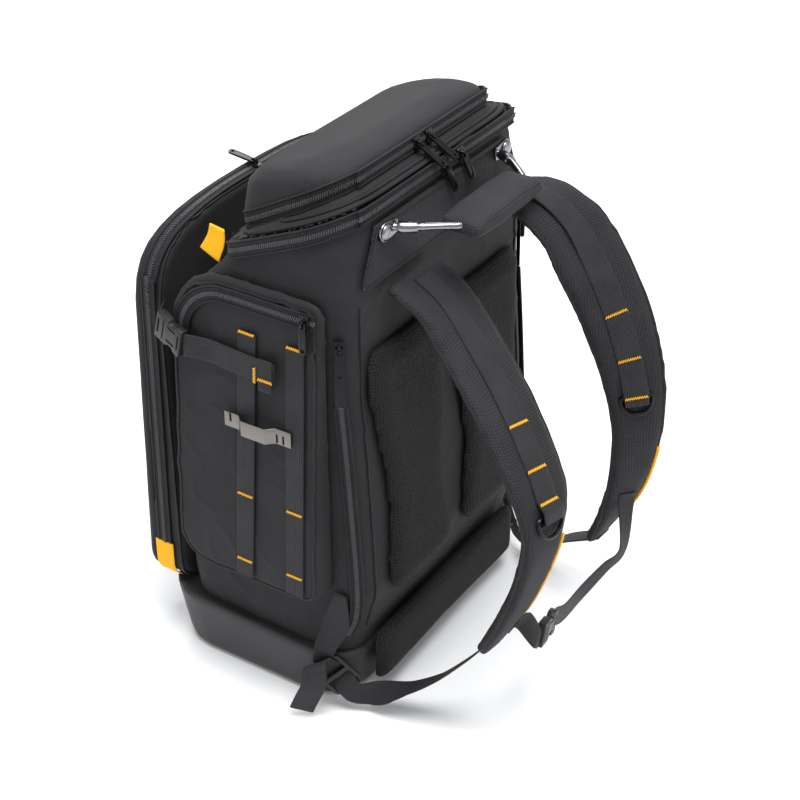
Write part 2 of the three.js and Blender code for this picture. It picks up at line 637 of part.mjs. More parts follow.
// Shoulder straps. Rows run from the root at the yoke to the tip, with turn the angle of the width about Z.
const STRAP_ROWS = {
  right: [
    { x: 66, y: 109, z: 449, width: 80, turn: 0 },
    { x: 67, y: 144, z: 430, width: 78, turn: 2 },
    { x: 75, y: 178, z: 401, width: 76, turn: 10 },
    { x: 87, y: 218, z: 362, width: 75, turn: 12 },
    { x: 98, y: 250, z: 322, width: 73, turn: 12 },
    { x: 106, y: 272, z: 286, width: 66, turn: 12 },
    { x: 110, y: 277, z: 250, width: 54, turn: 12 },
    { x: 114, y: 271, z: 212, width: 49, turn: 12 },
    { x: 119, y: 256, z: 164, width: 46, turn: 10 },
    { x: 124, y: 231, z: 115, width: 32, turn: 6 },
  ],
  left: [
    { x: -64, y: 111.6, z: 449, width: 80, turn: 0 },
    { x: -65, y: 128, z: 474, width: 80, turn: 2 },
    { x: -71, y: 158, z: 479, width: 78, turn: 8 },
    { x: -80, y: 191, z: 457, width: 76, turn: 18 },
    { x: -94, y: 216, z: 409, width: 73, turn: 36 },
    { x: -103, y: 239, z: 354, width: 69, turn: 50 },
    { x: -109, y: 256, z: 296, width: 62, turn: 58 },
    { x: -112, y: 263, z: 242, width: 52, turn: 56 },
    { x: -117, y: 258, z: 188, width: 46, turn: 48 },
    { x: -122, y: 246, z: 138, width: 44, turn: 26 },
    { x: -125, y: 222, z: 84, width: 34, turn: 2 },
  ],
};

function strapCourse(rows) {
  const curve = new THREE.CatmullRomCurve3(rows.map(({ x, y, z }) => vector(x, y, z)));
  const column = (key, share) => {
    const at = Math.min(share * (rows.length - 1), rows.length - 1.0001);
    return mix(rows[Math.floor(at)][key], rows[Math.floor(at) + 1][key], at % 1);
  };
  return (share) => {
    const along = curve.getTangent(share);
    const turn = THREE.MathUtils.degToRad(column("turn", share));
    const across = vector(-Math.cos(turn), Math.sin(turn), 0);
    across.addScaledVector(along, -across.dot(along)).normalize();
    return { at: curve.getPoint(share), along, across, out: along.clone().cross(across), width: column("width", share) };
  };
}

const STRAP_SECTION = [
  { across: -0.5, out: -0.2 }, { across: -0.5, out: 0.2 }, { across: -0.4, out: 0.5 }, { across: -0.2, out: 0.5 },
  { across: 0.2, out: 0.5 }, { across: 0.4, out: 0.5 }, { across: 0.5, out: 0.2 }, { across: 0.5, out: -0.2 },
  { across: 0.4, out: -0.5 }, { across: -0.4, out: -0.5 },
];
const shares = (from, to, steps) => Array.from({ length: steps + 1 }, (_, i) => mix(from, to, i / steps));
const RING_SHARES = { right: 0.585, left: 0.625 };
const WEB_STARTS = { right: 0.03, left: 0.09 };
const tips = {};

for (const { side, sign } of SIDES) {
  const course = strapCourse(STRAP_ROWS[side]);
  const ringShare = RING_SHARES[side];
  const humpShares = [-0.04, -0.016, 0, 0.014, 0.024].map((step) => ringShare + step);
  const webShares = [...shares(WEB_STARTS[side], ringShare - 0.06, 21), ...humpShares];
  tips[side] = course(1);
  add("shoulder_strap_" + side, loft([0, ...webShares, ...shares(ringShare + 0.07, 1, 9)].map((share) => {
    const { at, across, out, width } = course(share);
    return STRAP_SECTION.map((p) => shift(shift(at, across, p.across * width), out, p.out * STRAP_THICKNESS));
  })), nylon);

  // The centre webbing rises over the bar of the ring and comes back to the pad below it.
  const lie = STRAP_THICKNESS / 2 + GAP + WEBBING / 2;
  const humpAt = (share) => (Math.abs(share - ringShare) < 0.02 ? RING_WIRE + 5 * GAP : 0);
  add("strap_webbing_" + side, strip(webShares.map((share) => {
    const { at, across, out } = course(share);
    const narrow = share > ringShare ? 2 : 0;
    return { at: shift(at, out, lie + humpAt(share) + 0.7), out, across, width: STRAP_WEBBING_WIDTH - narrow };
  }), WEBBING), webbingCloth);

  // D-ring: a straight bar under the webbing and a round bow below it
  const { at, across, out, along } = course(ringShare);
  const barAt = shift(at, out, STRAP_THICKNESS / 2 + GAP + RING_WIRE / 2 + 0.25);
  const bow = RING_WIDTH / 2 - RING_WIRE / 2;
  const straight = RING_DROP - bow - RING_WIRE;
  const ringFrame = new THREE.Matrix4().makeBasis(across, along, out.clone().negate()).setPosition(barAt);
  const wire = (radius) => Array.from({ length: 6 }, (_, i) => (i * Math.PI) / 3 + Math.PI / 6)
    .map((angle) => flat(radius * Math.cos(angle), radius * Math.sin(angle)));
  const bowPoints = [
    { x: -bow, y: 0, turn: -135 }, { x: -bow, y: straight, turn: 180 },
    ...[150, 120, 90, 60, 30].map((turn) => ({
      x: bow * Math.cos(THREE.MathUtils.degToRad(turn)), y: straight + bow * Math.sin(THREE.MathUtils.degToRad(turn)), turn,
    })),
    { x: bow, y: straight, turn: 0 }, { x: bow, y: 0, turn: -45 },
  ];
  const section = wire(RING_WIRE / 2);
  add("d_ring_" + side, loft(bowPoints.map(({ x, y, turn }) => {
    const angle = THREE.MathUtils.degToRad(turn);
    const stretch = turn < 0 ? Math.SQRT2 : 1;
    return section.map((p) => vector(
      x + p.x * stretch * Math.cos(angle), y + p.x * stretch * Math.sin(angle), p.y));
  }), true).applyMatrix4(ringFrame), blackMetal);
  hingeFrames["d_ring_" + side] = ringFrame;
}

// Adjuster webbing from each strap's tip through a ladder lock at the tray's corner, and its loose end
const LOCK_AT = { x: 165.5, y: 90, z: 44 };
const LOCK_DOWN = { x: -0.35, y: 0.56, z: -0.75 };
const LOCK_OUT = { x: 0.82, y: 0.57, z: 0 };
const LOCK_BAR = 5;
const LOCK_SLOT = LOCK_LENGTH / 2 - 1.5 * LOCK_BAR;
const TIP_ROOM = 10;
const WING_ROWS = [
  { x: HALF + 2.5, y: 97, z: 146, width: 12, lean: 0 },
  { x: HALF + 5, y: 93, z: 112, width: 32, lean: 0.4 },
  { x: HALF + TRAY_FLARE + 4, y: 84, z: 82, width: 34, lean: 0.8 },
];
const ADJUSTER_ROWS = [
  { x: 127, y: 214, z: 92, twist: 0.1 },
  { x: 132, y: 186, z: 60, twist: 0.3 },
  { x: 138, y: 158, z: 38, twist: 0.5 },
  { x: 142, y: 143, z: 30, twist: 0.63 },
  { x: 147, y: 130, z: 25, twist: 0.78 },
  { x: 153, y: 118, z: 23, twist: 0.93 },
];
// The loose end folds over at the lock, then hangs down beside the tray.
const TAIL_TURNS = [
  { length: 22, steps: 11, x: 0.1, y: 0.1, z: -1 },
  { length: 20, steps: 4, x: 0.05, y: -0.4, z: -0.9 },
  { length: 32, steps: 2, x: 0, y: -0.35, z: -0.94 },
];
const TAIL_ACROSS = { x: -0.5, y: 0.86, z: 0 };
const stripTurn = (along, wide) => {
  const across = wide.clone().addScaledVector(along, -wide.dot(along)).normalize();
  return new THREE.Quaternion().setFromRotationMatrix(
    new THREE.Matrix4().makeBasis(along, across, along.clone().cross(across)));
};
for (const { side, sign } of SIDES) {
  const turned = ({ x, y, z }) => vector(sign * x, y, z);
  const down = turned(LOCK_DOWN).normalize();
  const out = turned(LOCK_OUT).addScaledVector(down, -turned(LOCK_OUT).dot(down)).normalize();
  const frame = hingeMatrix(turned(LOCK_AT), down, out);
  const across = down.clone().cross(out).multiplyScalar(sign);
  const inLock = (along, rise) => vector(0, along, rise).applyMatrix4(frame);
  const slot = (from, to) => box2(-LOCK_WIDTH / 2 + 4, LOCK_WIDTH / 2 - 4, from, to);
  const half = LOCK_LENGTH / 2;
  const lockOutline = roundedOutline({
    left: -LOCK_WIDTH / 2, right: LOCK_WIDTH / 2, low: -half, high: half, lowLeft: 6, lowRight: 6, highLeft: 6, highRight: 6,
  });
  const holes = [slot(LOCK_BAR / 2, LOCK_BAR / 2 + LOCK_SLOT), slot(-LOCK_BAR / 2 - LOCK_SLOT, -LOCK_BAR / 2)];
  add("ladder_lock_" + side, tube(lockOutline, holes, LOCK_THICKNESS).applyMatrix4(frame), plastic);

  const wing = WING_ROWS.map(({ x, y, z, width, lean }) => ({
    at: turned({ x, y, z }), width,
    out: vector(sign, 0, 0).lerp(out, lean),
    across: vector(0, 1, 0).lerp(across.clone().multiplyScalar(across.y < 0 ? -1 : 1), lean),
  }));
  const wingEnd = inLock(-half - GAP - 0.4, 0);
  const endAcross = across.clone().multiplyScalar(across.y < 0 ? -1 : 1);
  add("wing_" + side, strip([...wing, { at: wingEnd, out, across: endAcross, width: LOCK_WIDTH - 6 }], WEBBING), nylon);

  // The webbing goes over the lock's end bar, under its middle bar and out over the other end.
  const tip = tips[side];
  const start = shift(tip.at, tip.along, 5 * GAP);
  const rise = LOCK_THICKNESS / 2 + GAP + WEBBING / 2 + 0.7;
  const acrossLock = across.clone().multiplyScalar(across.x < 0 ? 1 : -1);
  const tail = [];
  const tailAt = inLock(-half, rise + 1);
  let from = stripTurn(down.clone().negate(), acrossLock);
  for (const { length, steps, ...way } of TAIL_TURNS) {
    const to = stripTurn(turned(way).normalize(), turned(TAIL_ACROSS).multiplyScalar(sign));
    for (let i = 0; i < steps; i++) {
      const turn = from.clone().slerp(to, (i + 0.5) / steps);
      tailAt.addScaledVector(vector(1, 0, 0).applyQuaternion(turn), length / steps);
      tail.push({ at: tailAt.clone(), across: vector(0, 1, 0).applyQuaternion(turn) });
    }
    from = to;
  }
  const threaded = [
    { along: half + 6, rise: rise + 1 }, { along: half - LOCK_BAR + 1, rise }, { along: 3, rise: -rise },
    { along: -3, rise: -rise }, { along: -half + LOCK_BAR - 1, rise }, { along: -half, rise: rise + 1 },
  ];
  const points = [
    { at: start, across: tip.across },
    ...ADJUSTER_ROWS.filter((row) => row.z < tip.at.z - TIP_ROOM)
      .map((row) => ({ at: turned(row), across: tip.across.clone().lerp(acrossLock, row.twist) })),
    ...threaded.map((row) => ({ at: inLock(row.along, row.rise), across: acrossLock })),
    ...tail,
  ];
  add("adjuster_webbing_" + side, strip(points.map(({ at, across: wide }, i) => {
    const along = points[Math.min(i + 1, points.length - 1)].at.clone().sub(points[Math.max(i - 1, 0)].at).normalize();
    const level2 = wide.clone().addScaledVector(along, -wide.dot(along)).normalize();
    return { at, across: level2, out: along.clone().cross(level2), width: i ? ADJUSTER_WIDTH - 1 : ADJUSTER_WIDTH - 4 };
  }), WEBBING), webbingCloth);
}

// Back panel: two mesh pads, a lumbar pad and the flat yoke above the straps
const BACK_PAD_ROWS = [
  { z: 398, inner: 16, outer: 126 },
  { z: bodyLevels[5].zBack + 24, inner: 10, outer: 135 },
  { z: bodyLevels[5].zBack, inner: 10, outer: 134 },
  { z: 290, inner: 12, outer: 124 },
  { z: bodyLevels[4].zBack, inner: 18, outer: 119 },
  { z: 222, inner: 22, outer: 116 },
  { z: bodyLevels[3].zBack, inner: 10, outer: 122 },
  { z: 118, inner: 30, outer: 104 },
];
const PAD_SECTION = [
  { inset: 0, height: 0 }, { inset: 0, height: 0.35 }, { inset: 6, height: 0.85 }, { inset: 20, height: 1 },
];
const onBack = (u, v, height) => vector(u, backAt(v) + GAP + 0.2 + height, v);
for (const { side, sign } of SIDES) {
  add("back_pad_" + side, loft(BACK_PAD_ROWS.map(({ z, inner, outer }, i) => {
    const crown = i === 0 || i === BACK_PAD_ROWS.length - 1 ? 0.4 : 1;
    const half = PAD_SECTION.map(({ inset, height }) => ({ inset, height: height * crown * PAD_THICKNESS }));
    return [
      ...half.map(({ inset, height }) => onBack(sign * (inner + inset), z, height)),
      ...[...half].reverse().map(({ inset, height }) => onBack(sign * (outer - inset), z, height)),
    ];
  })), mesh3d);
}

const LUMBAR = { width: 264, low: 20, high: 83, thickness: 13 };
const lumbarOutline = roundedOutline({
  left: -LUMBAR.width / 2, right: LUMBAR.width / 2, low: LUMBAR.low, high: LUMBAR.high,
  lowLeft: 8, lowRight: 8, highLeft: 10, highRight: 10,
});
const lumbarY = BODY_BACK + 3.5 + GAP + 0.2;
add("lumbar_pad", panel(lumbarOutline, (u, v, height) => vector(u, lumbarY + height, v), [
  { inset: 0, height: 0 }, { inset: 0, height: LUMBAR.thickness * 0.4 },
  { inset: 5, height: LUMBAR.thickness * 0.85 }, { inset: 16, height: LUMBAR.thickness },
]), mesh3d);

const YOKE = { low: 460, high: 514, foot: 140, top: 112 };
const yokeOutline = [flat(YOKE.foot, YOKE.low), flat(YOKE.top, YOKE.high), flat(-YOKE.top, YOKE.high), flat(-YOKE.foot, YOKE.low)];
add("yoke_panel", panel(yokeOutline, onBack, [
  { inset: 0, height: 0 }, { inset: 0, height: YOKE_THICKNESS * 0.6 }, { inset: 2, height: YOKE_THICKNESS },
]), nylon);

// Handle: a steel cable with a crimped eye at each end, riveted to the yoke, in a padded wrap
const RIVET_Z = 505;
const EYE_THICKNESS = 2.5;
const SHANK_RADIUS = 3.6;
const eyeY = backAt(RIVET_Z) + YOKE_THICKNESS + 5 * GAP;
const round = (radius, sides) => arc2(radius, 0, 2 * Math.PI * (1 - 1 / sides), sides - 1);

function rod(points, radius, sides) {
  return loft(points.map((at, i) => {
    const along = points[Math.min(i + 1, points.length - 1)].clone().sub(points[Math.max(i - 1, 0)]).normalize();
    const up = vector(0, 0, 1).addScaledVector(along, -along.z).normalize();
    const side = along.clone().cross(up);
    return round(radius, sides).map((p) => shift(shift(at, side, p.x), up, p.y));
  }));
}

const rivetX = RIVET_SPACING / 2;
const CABLE_ROWS = [
  { inward: 13, reach: 0, z: 0 },
  { inward: 17, reach: 10, z: 0 },
  { inward: 32, reach: 30, z: 0 },
  { inward: 54, reach: 0.95 * HANDLE_REACH, z: -2 },
  { inward: 76, reach: HANDLE_REACH, z: -3 },
];
const cableHalf = CABLE_ROWS.map(({ inward, reach, z }) =>
  vector(rivetX - inward, eyeY + EYE_THICKNESS / 2 + reach, RIVET_Z + z));
const cableCurve = new THREE.CatmullRomCurve3([...cableHalf, ...mirrored(cableHalf).reverse()]);
const cablePoints = shares(0, 1, 28).map((share) => cableCurve.getPoint(share));
const eyes = SIDES.map(({ sign }) => {
  const plate = tube([
    ...arc2(9, -Math.PI / 2, Math.PI / 2, 6).map((p) => flat(p.x, p.y)), flat(-18, 6), flat(-18, -6),
  ], [round(SHANK_RADIUS + GAP, 8)], EYE_THICKNESS);
  return plate.applyMatrix4(new THREE.Matrix4().makeBasis(
    vector(sign, 0, 0), vector(0, 0, sign), vector(0, -1, 0)).setPosition(sign * rivetX, eyeY + EYE_THICKNESS / 2, RIVET_Z));
});
const ferrules = [[0.05, 0.16], [0.84, 0.95]].map(([from, to]) =>
  rod(shares(from, to, 3).map((share) => cableCurve.getPoint(share)), 5.2, 10));
add("handle_cable", joined(rod(cablePoints, CABLE_DIAMETER / 2, 8), ...eyes, ...ferrules), steel);

for (const { side, sign } of SIDES) {
  const shank = EYE_THICKNESS + 2 * GAP;
  const profile = [flat(0, 0), flat(SHANK_RADIUS, 0), flat(SHANK_RADIUS, shank), flat(RIVET_RADIUS, shank),
    flat(RIVET_RADIUS * 0.85, shank + 1.8), flat(RIVET_RADIUS * 0.4, shank + 2.6), flat(0, shank + 2.8)];
  add("handle_rivet_" + side, new THREE.LatheGeometry(profile, 16)
    .translate(sign * rivetX, 0, -RIVET_Z).applyMatrix4(new THREE.Matrix4().makeBasis(
      vector(1, 0, 0), vector(0, 1, 0), vector(0, 0, 1)))
    .applyMatrix4(new THREE.Matrix4().setPosition(0, eyeY, 2 * RIVET_Z)), steel);
}

const gripY = eyeY + HANDLE_REACH - 6;
const GRIP_SECTIONS = [
  { share: -0.5, width: 0.78, thick: 0.6 }, { share: -0.46, width: 0.94, thick: 0.85 },
  { share: -0.2, width: 1, thick: 1 }, { share: 0.2, width: 1, thick: 1 },
  { share: 0.46, width: 0.94, thick: 0.85 }, { share: 0.5, width: 0.78, thick: 0.6 },
];
const grip = loft(GRIP_SECTIONS.map(({ share, width, thick }) => STRAP_SECTION.map((p) => vector(
  share * GRIP_LENGTH, gripY + p.across * width * GRIP_WIDTH, RIVET_Z - 3 + p.out * thick * GRIP_THICKNESS))));
add("handle_grip", cut(grip, rod(cablePoints, CABLE_DIAMETER / 2 + GAP, 8)), nylon);

// Sternum strap, hanging between the two shoulder straps, with its buckle closed
const rightHold = strapCourse(STRAP_ROWS.right)(0.93);
const leftHold = strapCourse(STRAP_ROWS.left)(0.86);
const holdRise = STRAP_THICKNESS / 2 + GAP + WEBBING / 2 + 0.3;
const STERNUM_BUCKLE = { length: 40, width: 25, thickness: 8, waist: 18 };
const sternumAt = vector(60, 262, 106);
const sternumAlong = vector(-0.95, -0.16, -0.26).normalize();
const sternumOut = vector(0, 1, 0).addScaledVector(sternumAlong, -sternumAlong.y).normalize();
const sternumFrame = hingeMatrix(sternumAt, sternumAlong, sternumOut);
add("sternum_buckle", buckleGeometry(STERNUM_BUCKLE, sternumFrame), plastic);
const END_ROOM = 0.8;
const buckleSide = (end, room) => ({
  at: shift(sternumAt, sternumAlong, end * (STERNUM_BUCKLE.length / 2 + room)), out: sternumOut,
});
const hanging = (rows) => {
  const steps = pathSteps(rows.map(({ at }) => at), rows.map(({ out }) => out), STERNUM_WIDTH);
  return strip(steps, WEBBING);
};
const facing = vector(0, 1, 0);
add("sternum_webbing_right", hanging([
  { at: shift(shift(rightHold.at, rightHold.across, 8), rightHold.out, holdRise), out: rightHold.out },
  { at: shift(shift(rightHold.at, rightHold.across, rightHold.width / 2 + 4), rightHold.out, holdRise), out: rightHold.out },
  buckleSide(-1, 10 * END_ROOM),
  buckleSide(-1, END_ROOM),
]), webbingCloth);
const SLING = [
  { x: 6, y: 254, z: 84 }, { x: -40, y: 250, z: 76 }, { x: -74, y: 258, z: 88 }, { x: -92, y: 268, z: 104 },
];
add("sternum_webbing_left", hanging([
  buckleSide(1, END_ROOM),
  buckleSide(1, 10 * END_ROOM),
  ...SLING.map(({ x, y, z }) => ({ at: vector(x, y, z), out: facing })),
  { at: shift(shift(leftHold.at, leftHold.out, holdRise + 4), leftHold.along, 14), out: leftHold.out },
  { at: shift(leftHold.at, leftHold.out, holdRise + 0.3), out: leftHold.out },
]), webbingCloth);

// Yellow cloth: a tag ahead of each end of the lid zip, and a patch round each lower front corner
const TAG_ROWS = [
  { x: HALF - 9.2, y: -34, z: 493, width: 16 },
  { x: HALF - 9, y: -36, z: 480, width: 20 },
  { x: HALF - 7.5, y: -43, z: 464, width: 25 },
];
for (const { side, sign } of SIDES) {
  add("lid_tag_" + side, strip(TAG_ROWS.map(({ x, y, z, width }) => ({
    at: vector(sign * x, y, z), out: vector(sign, 0, 0), across: vector(0, 1, 0), width,
  })), WEBBING), yellowCloth);

  const patchReach = FRONT_CORNER + GAP + WEBBING / 2 + 0.4;
  const arc = arc2(patchReach, -PATCH.from * Math.PI, 0, 4).map((p) => flat(
    frontHalf - FRONT_CORNER + p.x, FRONT_LOW + FRONT_CORNER + p.y));
  const patch = [...arc, flat(arc[4].x, FRONT_LOW + PATCH.height)];
  const turned = patch.map((p) => vector(sign * p.x, frontEdge + 1 + PATCH.depth / 2, p.y));
  const outs = patch.map((p, i) => {
    const angle = i < 4 ? -PATCH.from * Math.PI * (1 - i / 4) : 0;
    return vector(sign * Math.cos(angle), 0, Math.sin(angle));
  });
  add("corner_patch_" + side, strip(pathSteps(turned, outs, PATCH.depth), WEBBING), yellowCloth);
}

backpack.userData.hinges = hingeFrames;
export default backpack;
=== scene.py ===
import math

import bmesh
import bpy
import numpy as np
from mathutils import Matrix, Vector, noise
from mathutils.bvhtree import BVHTree


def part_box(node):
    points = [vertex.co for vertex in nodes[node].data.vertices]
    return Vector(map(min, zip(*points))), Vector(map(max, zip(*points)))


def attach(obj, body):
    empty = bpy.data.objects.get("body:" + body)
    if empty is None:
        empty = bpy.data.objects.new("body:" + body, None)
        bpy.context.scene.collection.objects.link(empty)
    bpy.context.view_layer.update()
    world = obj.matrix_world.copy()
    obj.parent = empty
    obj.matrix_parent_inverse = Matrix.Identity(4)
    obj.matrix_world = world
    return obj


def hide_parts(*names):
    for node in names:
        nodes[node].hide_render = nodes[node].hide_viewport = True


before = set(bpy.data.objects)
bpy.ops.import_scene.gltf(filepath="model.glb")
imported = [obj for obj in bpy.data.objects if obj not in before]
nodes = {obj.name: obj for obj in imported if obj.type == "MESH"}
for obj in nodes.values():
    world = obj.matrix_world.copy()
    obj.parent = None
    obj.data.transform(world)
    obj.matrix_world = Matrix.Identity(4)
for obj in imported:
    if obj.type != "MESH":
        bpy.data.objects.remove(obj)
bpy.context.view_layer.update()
SIDES = (("right", 1), ("left", -1))
MM = 0.001

# Camera, floor and light. The bag stands on a flat, pale studio floor in a pale room, under one large soft light
# above it and three weaker ones round it. The camera looks down on its back and its right side.

EYE_TURN, EYE_RISE, EYE_DISTANCE = math.radians(122.5), math.radians(32.5), 1.755
LENS, SENSOR_WIDTH = 77.22, 36
AIM = Vector((-0.0441, 0.0297, 0.2286))
to_camera = Vector((
    math.sin(EYE_TURN) * math.cos(EYE_RISE), -math.cos(EYE_TURN) * math.cos(EYE_RISE), math.sin(EYE_RISE)))
camera = bpy.data.objects.new("camera", bpy.data.cameras.new("camera"))
bpy.context.scene.collection.objects.link(camera)
camera.data.lens, camera.data.sensor_width = LENS, SENSOR_WIDTH
camera.location = AIM + to_camera * EYE_DISTANCE
camera.rotation_mode = "QUATERNION"
camera.rotation_quaternion = (-to_camera).to_track_quat("-Z", "Y")
camera.data.clip_start, camera.data.clip_end = 0.05, 30
bpy.context.scene.camera = camera
# the plain view keeps the yellow cloth bright and the black nylon neutral
bpy.context.scene.view_settings.view_transform = "Standard"


def linear(colour):
    """A linear colour from an sRGB hex value."""
    parts = [int(colour[i:i + 2], 16) / 255 for i in (1, 3, 5)]
    return (*[c / 12.92 if c <= 0.04045 else ((c + 0.055) / 1.055) ** 2.4 for c in parts], 1)


def node(material, kind, sets=(), links=()):
    """Adds a shader node with its settings, and links its named inputs to other nodes' outputs."""
    made = material.node_tree.nodes.new(kind)
    for name, value in dict(sets).items():
        if isinstance(name, int) or name in made.inputs:
            made.inputs[name].default_value = value
        else:
            setattr(made, name, value)
    for name, output in dict(links).items():
        material.node_tree.links.new(output, made.inputs[name])
    return made


def surface(name, colour, roughness, **shader):
    """A material with its main shader, whose even values sit on the shader's own sockets."""
    material = bpy.data.materials.new(name)
    material.use_nodes = True
    main = material.node_tree.nodes["Principled BSDF"]
    main.inputs["Base Color"].default_value = linear(colour)
    main.inputs["Roughness"].default_value = roughness
    for key, value in shader.items():
        main.inputs[key.replace("_", " ").title().replace("Ior", "IOR")].default_value = value
    return material, main


def join_in(material, main, socket, output):
    """Links an output to one of the main shader's inputs."""
    material.node_tree.links.new(output, main.inputs[socket])


def area_light(name, place, target, size, power):
    """A round soft light at a place in metres, turned to its target, with its power in watts."""
    lamp = bpy.data.lights.new(name, "AREA")
    lamp.shape, lamp.size, lamp.energy = "DISK", size, power
    made = bpy.data.objects.new(name, lamp)
    bpy.context.scene.collection.objects.link(made)
    made.location = place
    made.rotation_mode = "QUATERNION"
    made.rotation_quaternion = (Vector(target) - Vector(place)).to_track_quat("-Z", "Y")


area_light("key_light", (0.35, 0.5, 2.7), (0, 0.05, 0.25), 1.8, 98)
area_light("side_light", (2.4, -1.3, 1.3), (0, 0, 0.25), 1.4, 13)
area_light("rim_light", (-1.6, -1.4, 1.9), (0, 0, 0.35), 1.3, 24)
area_light("back_light", (-1.2, 2.4, 1.1), (0, 0.1, 0.25), 1.3, 12)
ROOM_COLOUR, ROOM_STRENGTH = "#F4F5F6", 0.62
world = bpy.data.worlds.new("studio")
bpy.context.scene.world = world
world.use_nodes = True
room = world.node_tree.nodes["Background"]
room.inputs["Color"].default_value = linear(ROOM_COLOUR)
room.inputs["Strength"].default_value = ROOM_STRENGTH

# Painted floor: matt white, so it only takes soft shadows.
studio_white, _ = surface("painted_studio_floor", "#F3F4F5", 0.9)
FLOOR_HALF_WIDTH, FLOOR_START, FLOOR_DEPTH = 7, 3, 10
mesh = bmesh.new()
corners = [mesh.verts.new((x, FLOOR_START, 0)) for x in (-FLOOR_HALF_WIDTH, FLOOR_HALF_WIDTH)]
pulled = bmesh.ops.extrude_edge_only(mesh, edges=[mesh.edges.new(corners)])["geom"]
bmesh.ops.translate(mesh, vec=(0, -FLOOR_DEPTH, 0), verts=[v for v in pulled if isinstance(v, bmesh.types.BMVert)])
floor = bpy.data.objects.new("floor", bpy.data.meshes.new("floor"))
bpy.context.scene.collection.objects.link(floor)
mesh.to_mesh(floor.data)
mesh.free()
floor.data.materials.append(studio_white)


# Fabric walls of the bag. Heavy woven nylon over thin foam, cut in panels and sewn with bound seams: they stay
# nearly flat, sink a little between the seams and crease softly where straps and zips pull on them.
SAME_PLACE = 2e-5


def raw_shape(name):
    """A bmesh of the CAD solid of this name, with its corners merged."""
    shape = bmesh.new()
    shape.from_mesh(nodes[name].data)
    bmesh.ops.remove_doubles(shape, verts=shape.verts, dist=SAME_PLACE)
    return shape


def outer_skin(name):
    """The convex outside of a CAD solid, without its inner walls or its open side."""
    shape = raw_shape(name)
    wrapped = set(bmesh.ops.convex_hull(shape, input=shape.verts)["geom"])
    bmesh.ops.delete(shape, geom=[f for f in shape.faces if f not in wrapped], context="FACES")
    bmesh.ops.delete(shape, geom=[v for v in shape.verts if not v.link_faces], context="VERTS")
    return shape


# The rim under the lid lies in a plane that is this high at this depth, and rises towards the back.
RIM_BACK, RIM_HEIGHT, RIM_SLOPE = 0.1008, 0.534, 0.42
RIM_REACH, SLAB_THICKNESS = 1.5 * MM, 9 * MM


def closed_walls(name):
    """The body's walls with a thin slab over their mouth, where the lid shuts it."""
    shape = raw_shape(name)
    slab = bmesh.new()
    for vertex in shape.verts:
        if abs(vertex.co.z - RIM_HEIGHT - (vertex.co.y - RIM_BACK) * RIM_SLOPE) < RIM_REACH:
            slab.verts.new(vertex.co)
            slab.verts.new(vertex.co - Vector((0, 0, SLAB_THICKNESS)))
    bmesh.ops.convex_hull(slab, input=slab.verts)
    cover = bpy.data.meshes.new("cover")
    slab.to_mesh(cover)
    slab.free()
    shape.from_mesh(cover)
    bpy.data.meshes.remove(cover)
    return shape


def finished(name, shape, material, body="bag", replaces=(), smooth=True):
    """Makes the bmesh a named piece, with its material, its body and its smooth or flat shading, and hides the CAD
    parts that it replaces.
    """
    made = bpy.data.objects.new(name, bpy.data.meshes.new(name))
    bpy.context.scene.collection.objects.link(made)
    shape.to_mesh(made.data)
    shape.free()
    made.data.materials.append(material)
    for polygon in made.data.polygons:
        polygon.use_smooth = smooth
    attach(made, body)
    if replaces:
        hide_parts(*replaces)
    return made


def modified(piece, kind, **settings):
    """Adds one modifier with its settings and applies it to the piece's mesh."""
    modifier = piece.modifiers.new("shaping", kind)
    for key, value in settings.items():
        setattr(modifier, key, value)
    graph = bpy.context.evaluated_depsgraph_get()
    fresh = bpy.data.meshes.new_from_object(piece.evaluated_get(graph))
    piece.modifiers.clear()
    old, piece.data = piece.data, fresh
    bpy.data.meshes.remove(old)
    for polygon in piece.data.polygons:
        polygon.use_smooth = True
    return piece


NEXT_ROW = Vector((7.3, 3.1, 5.7))


def crumpled(piece, *folds):
    """Moves each point along its normal by rows of noise: a height, a size along X, Y and Z, and a sharpness
    that is 0 for soft dents, which only sink, and more for narrow raised creases."""
    moves = []
    for vertex in piece.data.vertices:
        rise = 0
        for number, (height, size, sharpness) in enumerate(folds):
            at = Vector([c / (s * MM) for c, s in zip(vertex.co, size)]) + NEXT_ROW * number
            value = noise.noise(at)
            rise += height * ((1 - abs(value)) ** sharpness if sharpness else -0.5 - 0.5 * value)
        moves.append(vertex.co + vertex.normal * rise * MM)
    for vertex, place in zip(piece.data.vertices, moves):
        vertex.co = place
    return piece


def flat_map(piece):
    """A UV map in metres over the piece, each face seen along its main direction."""
    layer = piece.data.uv_layers.new(name="cloth")
    mesh = piece.data
    for polygon in mesh.polygons:
        turn = [abs(c) for c in polygon.normal]
        u, v = ((1, 2), (0, 2), (0, 1))[turn.index(max(turn))]
        for corner in polygon.loop_indices:
            at = mesh.vertices[mesh.loops[corner].vertex_index].co
            layer.data[corner].uv = (at[u], at[v])
    return piece


def shaded(material, main, dark, light, size, socket="Base Color"):
    """Slow changes between two colours over patches of this size in metres."""
    place = node(material, "ShaderNodeTexCoord").outputs["Object"]
    patches = node(material, "ShaderNodeTexNoise", {"Scale": 1 / size, "Detail": 4}, {"Vector": place})
    ramp = node(material, "ShaderNodeValToRGB", {}, {"Fac": patches.outputs["Fac"]})
    ramp.color_ramp.elements[0].position, ramp.color_ramp.elements[1].position = 0.3, 0.7
    ramp.color_ramp.elements[0].color, ramp.color_ramp.elements[1].color = linear(dark), linear(light)
    join_in(material, main, socket, ramp.outputs["Color"])
    return ramp


